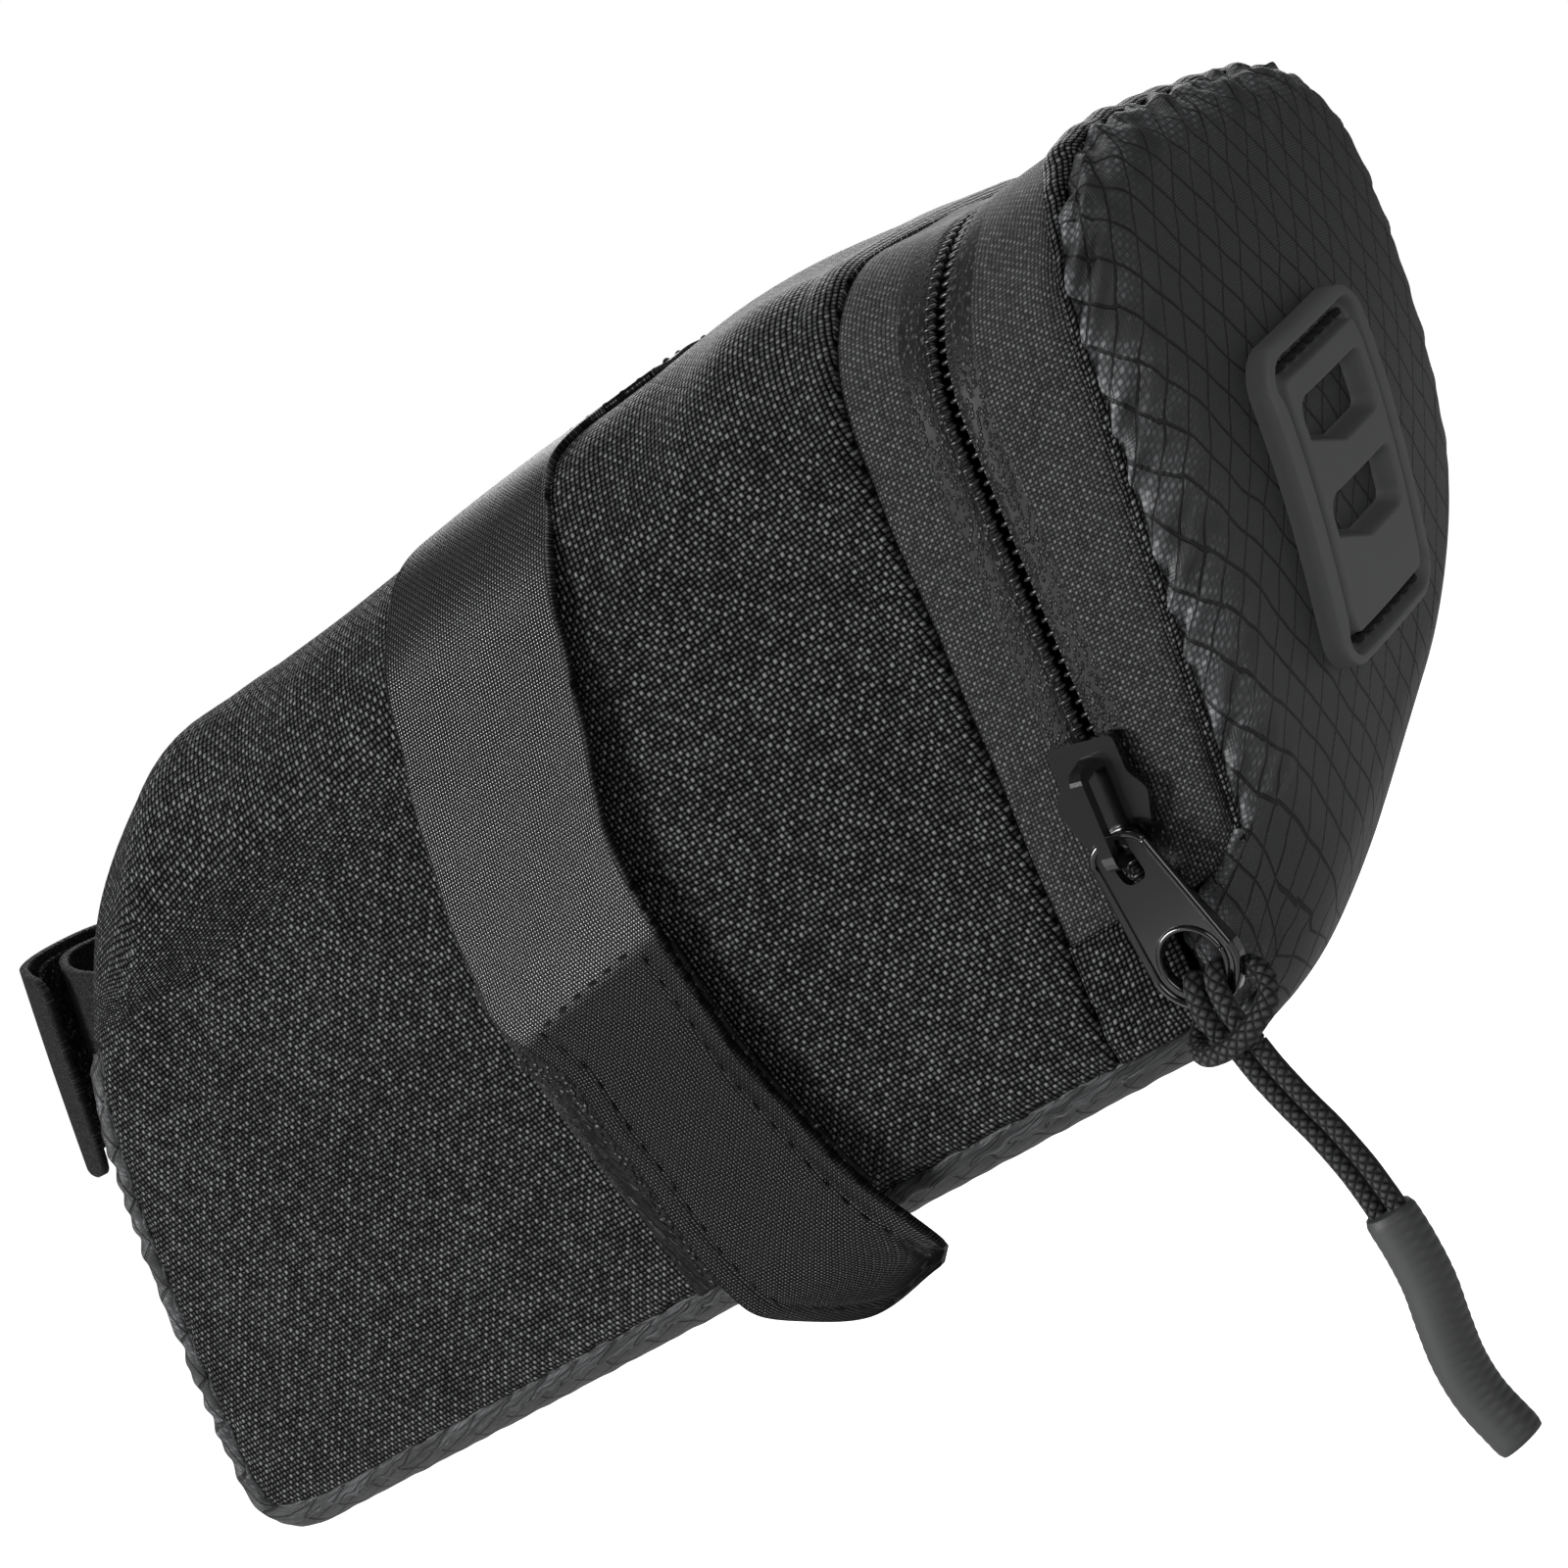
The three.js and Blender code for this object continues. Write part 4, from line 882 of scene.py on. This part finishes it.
def lid_piping():
    """A folded strip of coarse cloth between the rear tape and the ripstop: wide over the top, thin down
    the sides."""
    t_end = reach(ZIP_END)
    t = np.linspace(-t_end, t_end, 300)[:, None]
    w = np.linspace(0, 1, 13)[None, :]
    width = 1.3 + 4.6 * ease(40, 20, np.abs(t))
    offset = band_x(section(t)[1]) + 0.5 - width * (1 - w)
    arch = np.sin(math.pi * w) ** 0.6 * (0.35 + 0.1 * width) * (1 + 0.15 * wander(t, 51, 6, 10)) - 0.2
    outer, normal = along_zip(t, offset, -arch)
    inner = along_zip(t, offset, 0.7)[0]
    cloth = flat_lengths(outer)[..., ::-1]
    return place(sheet_mesh("lid_piping", outer, inner, cloth, BODY_CLOTH), "lid", "woven_fabric")


# ---- inside ---------------------------------------------------------------------------------

def body_lining():
    """A sock of thin cloth: rings round the section from the opening to the front, closing on the front's
    middle."""
    s = np.linspace(0, 1, 90)[:, None]
    turn = np.linspace(0, 2 * math.pi, 121)[None, :]
    shrink = 1 - ease(0.72, 1, s) * 0.98
    y = np.clip(1.5 * np.cos(turn), -1, 1) * 28 * shrink
    z = -46 + np.clip(1.5 * np.sin(turn), -1, 1) * 36 * shrink
    x = zip_x(z) - 3 + (front_x(z) + 6 - zip_x(z)) * np.clip(s / 0.72, 0, 1)
    outer, normal = settle(np.stack([x, y, z + 0 * s], -1), 4.4)
    cloth = flat_lengths(outer)
    return place(sheet_mesh("body_lining_cloth", outer, outer - normal * 0.5, cloth, LINING), "body",
                 "lining", "body_lining")


def lid_lining():
    """A thin sheet on the inside of the lid, 5 mm below its face."""
    y = np.linspace(-26, 24, 60)[None, :]
    z = np.linspace(-7, -76, 70)[:, None]
    outer, normal = settle(np.stack([rear_x(z) - 2 + 0 * y, y + 0 * z, z + 0 * y], -1), 5.0)
    return place(sheet_mesh("lid_lining_cloth", outer, outer - normal * 0.5, flat_lengths(outer), LINING),
                 "lid",
                 "lining", "lid_lining")


def foam_pad(name, body, node, start):
    """A foam sheet just under the outer cloth, thinning at its edges."""
    rows, columns = start.shape[:2]
    u, v = np.linspace(-1, 1, rows)[:, None], np.linspace(-1, 1, columns)[None, :]
    full = (1 - np.abs(u) ** 8) ** 0.5 * (1 - np.abs(v) ** 8) ** 0.5
    outer, normal = settle(start, 1.5)
    thick = 0.25 + 1.9 * full
    obj = sheet_mesh(name, outer, outer - normal * thick[..., None], flat_lengths(outer), FOAM)
    place(obj, body, "foam", node)


def patch_of(a, b, point):
    """A grid of starting points: point gives x, y, z from the row's and the column's value."""
    u, v = np.linspace(*a, 36)[:, None], np.linspace(*b, 36)[None, :]
    return np.stack([np.broadcast_to(c, (36, 36)) for c in point(u, v)], -1).astype(float)


# ---- light patch ----------------------------------------------------------------------------

PATCH_AT = (-4.7, -46.5, 3.6)   # its middle's y and z on the lid, and its turn in degrees
PATCH_SIZE = (23.0, 33.0, 2.4)


def on_lid(a, b, height):
    """Point of the lid a mm sideways and b mm up from the patch's middle, height above the cloth."""
    y0, z0, turn = PATCH_AT
    c, s = math.cos(math.radians(turn)), math.sin(math.radians(turn))
    y, z = y0 + a * c - b * s, z0 + (a * s + b * c) / 1.036
    points, normal = settle(np.stack([rear_x(z) + 2, y, z], -1))
    return points + normal * np.asarray(height)[..., None], normal


def rounded_box(a, b, half_a, half_b, radius):
    """Distance outside a rectangle with round corners."""
    u, v = np.abs(a) - half_a + radius, np.abs(b) - half_b + radius
    return np.hypot(np.maximum(u, 0), np.maximum(v, 0)) + np.minimum(np.maximum(u, v), 0) - radius


def slot_distance(a, b, middle):
    """Distance outside a slot 14.5 x 5.6 mm with its lower far corner cut away."""
    box = rounded_box(a, b - middle, 7.2, 2.9, 1.5)
    return np.maximum(box, (-a * 0.4 - (b - middle)) / 1.08 - 3.1)


def light_patch():
    """A moulded plate: its height over a flat grid falls off at the outline, in the sewing groove and in
    the slots."""
    half_a, half_b, thick = PATCH_SIZE[0] / 2, PATCH_SIZE[1] / 2, PATCH_SIZE[2]
    a, b = np.meshgrid(np.linspace(-half_a - 0.2, half_a + 0.2, 150),
                       np.linspace(half_b + 0.2, -half_b - 0.2, 214))
    outline = rounded_box(a, b, half_a, half_b, 4.2)
    short_end = ease(half_b - 6.0, half_b - 3.0, np.abs(b))
    groove_width = 0.45 + 0.55 * short_end
    groove = np.abs(outline + 2.5) - groove_width
    slots = np.minimum(slot_distance(a, b, 7.4), slot_distance(a, b, -2.4))
    height = thick * ease(0.1, -0.35, outline)
    height = height - 1.5 * ease(0.2, -0.25, groove) - 0.25 * hump(outline, -0.1, 0.5)
    height = height - (thick + 0.1) * ease(0.35, -0.5, slots)
    height = np.maximum(height, -0.6) - 0.6 * ease(-0.05, 0.2, outline)
    outer = on_lid(a, b, height)[0]
    inner = on_lid(a, b, np.full(a.shape, -1.2))[0]
    cloth = np.stack([a, b], -1)
    place(sheet_mesh("light_patch", outer, inner, cloth, RUBBER), "lid", "rubber", "light_clip_patch")
    for sign, name in ((1, "top"), (-1, "low")):
        reach_a, reach_b = half_a - 2.5, half_b - 2.5
        a_line = np.linspace(-reach_a + 0.6, reach_a - 0.6, 60)
        b_line = sign * (reach_b - 1.4 * ease(reach_a - 2.2, reach_a, np.abs(a_line)))
        line, normal = on_lid(a_line, b_line, np.full(60, 1.25))
        row = stitches("patch_stitches_" + name, line, normal, 2.3, 1.9, 0.85, THREAD)
        place(row, "lid", "cord")


# ---- saddle straps --------------------------------------------------------------------------

# Each strap's two edges from the anchor down to its tip: x, and the distance round the section from the
# middle of the top.
REAR_EDGE = [(3.5, 15), (1.6, 19.5), (-0.3, 24.3), (-0.8, 33.2), (-2.7, 40.4), (-6.1, 49.9), (-9.1, 55.8),
             (-10.9, 60.4), (-12.4, 67.3), (-13.2, 78.5), (-13.2, 87.4), (-11.5, 98.1), (-9.7, 104.1),
             (-7.8, 108.1),
             (-6.3, 111.4), (-6, 112.6)]
FRONT_EDGE = [(-19.5, 15), (-22.4, 19.5), (-24.4, 24.3), (-26.2, 33.2), (-27.6, 41), (-31.9, 51.9),
              (-34.5, 59.8),
              (-36.4, 66.2), (-37.2, 71.2), (-33.2, 79.5), (-33.5, 87.4), (-33.6, 98.7), (-32.9, 106.1),
              (-29.8, 111),
              (-18.6, 115.4), (-7.9, 114.2)]
HOLD_END = -70.0         # below this height the strap hangs free of the bag


def strap_face(side, height, widen=0.0):
    """Grid of the strap: rows run down it, columns from its rear to its front edge; below the bag it hangs
    straight."""
    rear, front = polyline(REAR_EDGE, None), polyline(FRONT_EDGE, None)
    w = np.linspace(0, 1, STRAP_COLUMNS)[None, :, None]
    flat = rear[:, None] * (1 - w) + (front[:, None] - [[[widen, 0]]]) * w
    x, t = flat[..., 0], flat[..., 1]
    y, z = section(t)
    held = np.minimum(t, reach(HOLD_END))
    y_held, z_held = section(held)
    lift = 0.9 + (height - 0.9) * ease(22, 55, t)
    over, normal = settle(np.stack([x, -y_held, z_held], -1), -lift)
    low = (t > held)[..., None]
    hanging = np.stack([x, over[..., 1] - 0.012 * (t - held) ** 1.3, z], -1)
    points = np.where(low, hanging, over)
    points[..., 1] -= 0.5 * ease(30, 50, t) + 0.5 * np.exp(-((w[..., 0]) / 0.12) ** 2) * ease(35, 60, t)
    normal = np.where(low, [0.0, -1.0, 0.0], normal)
    points[..., 1] *= -side
    normal = normal * [1, -side, 1]
    return points, normal, t[:, 0]


def saddle_strap(side, word):
    """Webbing down one side: its wider sewn tab, a row of stitches inside the tab's edge, and its hook
    layer."""
    body = "saddle_strap_" + word
    outer, normal, t = strap_face(side, 2.6)
    inner = outer - normal * 1.1
    cloth = flat_lengths(outer, 20)
    across = cloth[..., 1:2]
    tab = ease(70, 72, t)[:, None]
    edge = np.minimum(across[..., 0] - across[:, :1, 0], across[:, -1:, 0] - across[..., 0])
    sewn = np.exp(-((edge - 2.9) / 0.55) ** 2) * tab
    wave = 0.16 * wander(cloth[..., 0], 61, 13, 21) * np.exp(-edge / 4)
    outer = outer + normal * (wave - 0.22 * sewn)[..., None]
    cloth = np.concatenate([cloth, np.broadcast_to(0.6 * tab,
                                                   across.shape[:1] + cloth.shape[1:2])[..., None]], -1)
    place(sheet_mesh("saddle_strap_" + word + "_web", outer, inner, cloth, WEBBING), body, "webbing", body)
    tip, first = int(np.argmin(np.abs(t - 112))), int(np.argmin(np.abs(t - 71)))
    inset = int(round(STRAP_COLUMNS * 0.14))
    line = np.vstack([outer[first, inset:-inset], outer[first:tip, -inset], outer[tip, -inset:inset:-1],
                      outer[tip:first:-1, inset]])
    out = np.vstack([normal[first, inset:-inset], normal[first:tip, -inset], normal[tip, -inset:inset:-1],
                     normal[tip:first:-1, inset]])
    row = stitches("saddle_strap_" + word + "_stitches", line, out, 2.6, 1.7, 0.4, THREAD, 0.05)
    place(row, body, "cord")
    hooks, out, t = strap_face(side, 1.1, 4.4)
    keep = slice(int(np.argmin(np.abs(t - 73))), int(np.argmin(np.abs(t - 104))))
    hooks, out = hooks[keep], out[keep]
    fringe = 0.25 * wander(t[keep][:, None] * 3, 62, 2.1, 3.3) * ease(0.9, 1,
                                                                      np.linspace(0, 1, STRAP_COLUMNS))[None]
    hooks = hooks + [1, 0, 0] * fringe[..., None]
    place(sheet_mesh("saddle_hook_" + word, hooks, hooks - out * 0.6, flat_lengths(hooks), HOOKS), body,
          "hook_pile",
          "saddle_hook_patch_" + word)


def side_loop(side, word):
    """A rectangle of loop pile lying on the side's cloth, where the strap closes."""
    z, x = np.linspace(-41.5, -75.5, 50)[:, None], np.linspace(-19.5, -39.5, 30)[None, :]
    start = np.stack([x + 0 * z, side * SIDE + 0 * x + 0 * z, z + 0 * x], -1)
    outer, normal = settle(start, -0.45)
    place(sheet_mesh("side_loop_" + word, outer, outer - normal * 0.6, flat_lengths(outer), LOOPS), "body",
          "hook_pile",
          "side_loop_patch_" + word)


def strap_anchor():
    """Webbing sewn across the top: a rectangle on the cloth, pressed flat at the saddle's rails, with its
    stitches."""
    x, y = np.linspace(-14, 10, 50)[:, None], np.linspace(-16.8, 16.8, 60)[None, :]
    start = np.stack([x + 0 * y, y + 0 * x, TOP + 0 * x + 0 * y], -1)
    outer, normal = settle(start, -0.9)
    outer = outer * [1, 1, 0] + [0, 0, 1] * np.minimum(outer[..., 2:], -0.05)
    outer = outer + normal * (0.1 * wander(y, 63, 7, 11) - 0.12)[..., None]
    cloth = flat_lengths(outer)
    place(sheet_mesh("strap_anchor_web", outer, outer - normal * 0.9, cloth, WEBBING), "body", "webbing",
          "saddle_strap_anchor")
    ring = np.vstack([outer[5:-5, 5], outer[-6, 5:-5], outer[-6:5:-1, -6], outer[5, -6:5:-1],
                      outer[5:45, 5:-5][:, 24]])
    out = np.tile([0.0, 0.0, 1.0], (len(ring), 1))
    place(stitches("anchor_stitches", ring, out, 2.6, 1.8, 0.4, THREAD, 0.05), "body", "cord")


# ---- seatpost strap -------------------------------------------------------------------------

# The two halves' routes seen from above: the distance ahead of the base, and y.
POST_LEFT = [(1.2, -12.5), (5, -14), (10, -13.6), (15, -11), (17.6, -6.8), (16.4, -2.4), (12.5, 1.4),
             (8.5, 4.6),
             (5.5, 6.8)]
POST_RIGHT = [(1.2, 12.5), (6, 12), (11, 9), (15.5, 5), (20, 0), (22.3, -5.5), (21.6, -10.5),
              (18.5, -13.6), (14.6, -15.6)]
LEAN = np.array([FRONT_LEAN, 0, 1]) / math.hypot(1, FRONT_LEAN)
AWAY = np.array([-1, 0, FRONT_LEAN]) / math.hypot(1, FRONT_LEAN)


def post_band(name, body, node, route, width, thick, beside, material, slot, share=(0.0, 1.0), corner=2.5):
    """A strap standing on its edge: its route in plan, its width along the front's slope."""
    line = polyline(route, 0.35)
    ahead = np.gradient(line, axis=0)
    ahead /= np.linalg.norm(ahead, axis=1, keepdims=True)
    out = np.stack([-ahead[:, 1], ahead[:, 0]], -1)
    first, last = (int(round(len(line) * s)) for s in share)
    line, out = (line + out * beside)[first:last], out[first:last]
    v = np.linspace(-1, 1, 61)[None, :]
    along = lengths(line)[:, None]
    to_end = along[-1] - along
    cut = corner - np.sqrt(np.maximum(corner**2 - np.maximum(corner - to_end, 0) ** 2, 0))
    tall = (width / 2 - cut) * v
    ripple = 0.12 * wander(along + v * 3, 71, 9, 15)
    faces = [line[:, None] + (out * sign * thick / 2)[:, None] + (out[:, None] * ripple[..., None])
             for sign in (1, -1)]
    outer, inner = (STRAP_FOOT + AWAY * f[..., :1] + np.array([0, 1, 0]) * f[..., 1:] + LEAN * tall[...,
                                                                                                    None]
                    for f in faces)
    cloth = np.stack([along + 0 * v, tall], -1)
    place(sheet_mesh(name, outer, inner, cloth, material), body, slot, node)


def seatpost_strap():
    """The reinforced base on the front, and the two halves of the loop with their hook and loop layers."""
    y, z = np.linspace(-17.5, 17.5, 60)[None, :], np.linspace(-21.5, -49.3, 50)[:, None]
    start = np.stack([front_x(z) + 0 * y, y + 0 * z, z + 0 * y], -1)
    outer, normal = settle(start, -0.6)
    cloth = padded_cloth(flat_lengths(outer))
    place(sheet_mesh("seatpost_base_cloth", outer, outer - normal * 0.8, cloth, RIP_CLOTH), "body",
          "ripstop_fabric",
          "seatpost_strap_base")
    halves = (("left", POST_LEFT, (0.55, 0.95), "loop", LOOPS),
              ("right", POST_RIGHT, (0.45, 0.8), "hook", HOOKS))
    for word, route, share, patch, pile in halves:
        body = "seatpost_strap_" + word
        post_band(body + "_web", body, body, route, 25.5, 1.0, 0.0, PILE_WEB, "webbing")
        post_band("seatpost_" + patch + "_pile", body, "seatpost_" + patch + "_patch", route, 23.5, 0.6,
                  -1.05, pile,
                  "hook_pile", share)


# ---- slider, pull and cord ------------------------------------------------------------------

HOLE = np.array([36.14, -36.45, -74.9])     # middle of the pull's lower hole
SLEEVE_DROP = 29.2                          # from the hole down to the sleeve's top
# x and z of the cord below the hole, and of the sleeve below its top.
CORD_ROUTE = [(0, -9.6), (0.2, -12), (0.6, -14.5), (1.1, -17), (1.7, -19.5), (2.1, -22), (2.4, -24.5),
              (2.5, -27),
              (2.5, -29)]
GRIP_ROUTE = [(2.5, 0), (2.3, -4), (1.7, -8), (0.5, -12), (-0.5, -16), (-0.7, -20), (0, -24), (0.3, -25.5)]


def hanging(route, beside=0.0, base=HOLE):
    """Points of a route of x and z below base, moved beside it along x."""
    return np.array([base + [x + beside, 0, z] for x, z in route])


def pull_cord():
    """A ribbed sleeve that turns back into itself at both ends, two cord strands into it, and the loop at
    the hole."""
    grip_base = HOLE + [0, 0, -SLEEVE_DROP]
    line = polyline(hanging(GRIP_ROUTE, 0, grip_base), 0.12)
    count = len(line)
    order = np.concatenate([[0, 0], np.arange(count), [count - 1, count - 1],
                            np.arange(count - 2, count - 30, -4)])
    at = lengths(line)
    shell = np.full(count, 2.6) - 0.25 * hump(at, 0, 0.5) - 0.2 * hump(at, at[-1], 0.4)
    radius = np.concatenate([[1.7, 2.1], shell, [2.25, 1.9], np.full(len(order) - count - 4, 1.75)])
    grip = tube_mesh("grip_sleeve", line, radius, SLEEVE, 28, sleeve_ribs, order)
    place(grip, "pull_cord", "sleeve", "cord_grip")
    for sign, word in ((-1, "front"), (1, "rear")):
        path = np.vstack([hanging(CORD_ROUTE, sign * 1.12), hanging(GRIP_ROUTE[1:5], sign * 1.0, grip_base)])
        path = polyline(path, 0.3)
        strand = tube_mesh("cord_" + word, path, 1.0, CORD_BRAID, 16)
        place(strand, "pull_cord", "cord", "cord_strand_" + word)
    half = [(1.15, -0.2, -9.3), (1.2, -0.85, -7.2), (1.3, -1.1, -4.9), (1.3, -0.3, -2.6), (1.5, 1.2, -1.8),
            (2.2, 2.2, -3.2)]
    near = [(-a, b, c) for a, b, c in half]
    bight = [(-3.7, 1.4, -5.8), (-4.1, -0.6, -7.0), (-2.6, -2.6, -7.9), (0.2, -3.2, -8.1), (3.0, -2.6, -7.6),
             (5.4, -0.9, -6.2), (5.6, 0.6, -4.4), (4.0, 1.9, -3.0)]
    loop = polyline(np.array(near + bight + half[::-1]) + HOLE, 0.25)
    place(tube_mesh("cord_loop", loop, 1.05, CORD_BRAID, 16), "pull_cord", "cord", "cord_knot")


def sleeve_ribs(along, turn):
    """Fine ribs across the sleeve's two sides, fading on its faces."""
    sides = np.clip(np.abs(np.cos(turn)) * 1.6 - 0.7, 0, 1)
    return 0.13 * sides * np.abs(np.sin(along * math.pi / 1.05))


def rim_ring(name, centre, radius_x, radius_z, y, thick, body):
    """A raised rim round an opening: a bar along an ellipse."""
    turn = np.linspace(0, 2 * math.pi, 97)
    line = np.stack([centre[0] + radius_x * np.cos(turn), np.full(97, y),
                     centre[1] + radius_z * np.sin(turn)], -1)
    return place(tube_mesh(name, line, thick, BLACK_METAL, 10), body, "black_metal")


def pull_rims():
    """The pull's raised edge and the rim of its lower hole, as bars along their outlines."""
    low, half_top, half_low, face_y = (HOLE[0], HOLE[2]), 3.2, 4.55, -36.0
    top = (HOLE[0], HOLE[2] + 12.6)
    turn_up = np.linspace(0.06 * math.pi, 0.94 * math.pi, 26)
    turn_low = np.linspace(math.pi, 2 * math.pi, 30)
    x = np.concatenate([top[0] + half_top * np.cos(turn_up), low[0] + half_low * np.cos(turn_low)])
    z = np.concatenate([top[1] - 0.6 + half_top * 0.6 * np.sin(turn_up),
                        low[1] + half_low * np.sin(turn_low)])
    line = np.stack([x, np.full(len(x), face_y), z], -1)
    line = resample(np.vstack([line, line[:1]]), 260)
    place(tube_mesh("pull_edge", line, 0.42, BLACK_METAL, 10), "pull_tab", "black_metal")
    rim_ring("pull_hole_rim", low, 3.45, 3.45, face_y, 0.3, "pull_tab")


# ---- the pieces -----------------------------------------------------------------------------

body_shell()
base_strip()
for side, word in ((-1, "left"), (1, "right")):
    seam_roll(side, "seam_roll_" + word + "_cloth")
    end_tab(side, "zip_end_tab_" + word)
    saddle_strap(side, word)
    side_loop(side, word)
zip_tape("front_tape", "body", "zip_tape_body", -0.75, -HEM - 2.0, 1.15)
zip_tape("rear_tape", "lid", "zip_tape_lid", 0.75, BAND + 1.0, 1.0)
zip_coil("front_coil", "body", "zip_coil_body", -1)
zip_coil("rear_coil", "lid", "zip_coil_lid", 1)
rear_cloth()
lid_piping()
light_patch()
strap_anchor()
seatpost_strap()
pull_cord()
pull_rims()
body_lining()
lid_lining()
for side, word in ((-1, "left"), (1, "right")):
    foam_pad("side_foam_" + word + "_pad", "body", "side_foam_" + word,
             patch_of((0, 1), (-20, -74), lambda u, z: (front_x(z) + 9 + u
                                                        * (zip_x(z) - 14 - front_x(z) - 9),
                                                      side * SIDE, z)))
foam_pad("top_foam_pad", "body", "top_foam", patch_of((-56, 33), (-16, 16), lambda x, y: (x, y, TOP)))
foam_pad("front_foam_pad", "body", "front_foam", patch_of((-30, -74), (-21, 21), lambda z,
                                                          y: (front_x(z), y, z)))
foam_pad("lid_foam_pad", "lid", "lid_foam", patch_of((-11, -64), (-20, 18), lambda z, y: (rear_x(z), y, z)))

# Finishes for the hard pieces that keep their CAD shape.
for name, material, edge in (("slider", BLACK_METAL, 0.25), ("pull_tab", BLACK_METAL, 0.2),
                             ("base_board", BOARD, 0.3),
                             ("zip_end_stop_left", BLACK_METAL, 0.15),
                             ("zip_end_stop_right", BLACK_METAL, 0.15)):
    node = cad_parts[name]
    node.data.materials.clear()
    node.data.materials.append(material)
    bevel = node.modifiers.new("soft edges", "BEVEL")
    bevel.width, bevel.segments, bevel.limit_method = edge * MM, 2, "ANGLE"


# ---- studio ---------------------------------------------------------------------------------

def make_studio():
    """A pale floor and world, white to the camera and dim as light, and four soft round lamps."""
    world = bpy.data.worlds.new("studio")
    world.use_nodes = True
    n = Nodes(world.node_tree)
    background = world.node_tree.nodes["Background"]
    seen = n.add("ShaderNodeLightPath").outputs["Is Camera Ray"]
    n.put(background.inputs["Color"], (1, 1, 1, 1))
    n.put(background.inputs["Strength"], n.mix(seen, 0.1, 1.0))
    bpy.context.scene.world = world
    bpy.context.scene.view_settings.view_transform = "Standard"

    def lamp(name, place, power, size, look=(-20, 0, -50)):
        data = bpy.data.lights.new(name, "AREA")
        data.shape, data.size, data.energy = "DISK", size, power
        obj = bpy.data.objects.new(name, data)
        obj.location = Vector(place) * MM
        obj.rotation_mode = "QUATERNION"
        obj.rotation_quaternion = (Vector(look) * MM - obj.location).to_track_quat("-Z", "Y")
        bpy.context.scene.collection.objects.link(obj)

    lamp("key", (-480, -640, 190), 7.5, 0.3)
    lamp("fill", (700, -500, 150), 2.5, 0.6)
    lamp("top", (50, 200, 800), 3, 0.6)
    lamp("back", (-300, 700, 300), 3, 0.6)

    floor = bpy.data.materials.new("pale floor")
    floor.use_nodes = True
    shader = floor.node_tree.nodes["Principled BSDF"].inputs
    shader["Base Color"].default_value = (0.5, 0.5, 0.5, 1)
    shader["Roughness"].default_value = 0.9
    shader["Emission Color"].default_value = (1, 1, 1, 1)
    f = Nodes(floor.node_tree)
    f.put(shader["Emission Strength"], f.mix(f.add("ShaderNodeLightPath").outputs["Is Camera Ray"], 0.05,
                                             1.0))
    mesh = bpy.data.meshes.new("floor")
    mesh.from_pydata([(-6, -6, -0.19), (6, -6, -0.19), (6, 6, -0.19), (-6, 6, -0.19)], [], [(0, 1, 2, 3)])
    mesh.materials.append(floor)
    plane = bpy.data.objects.new("floor", mesh)
    bpy.context.scene.collection.objects.link(plane)


make_studio()
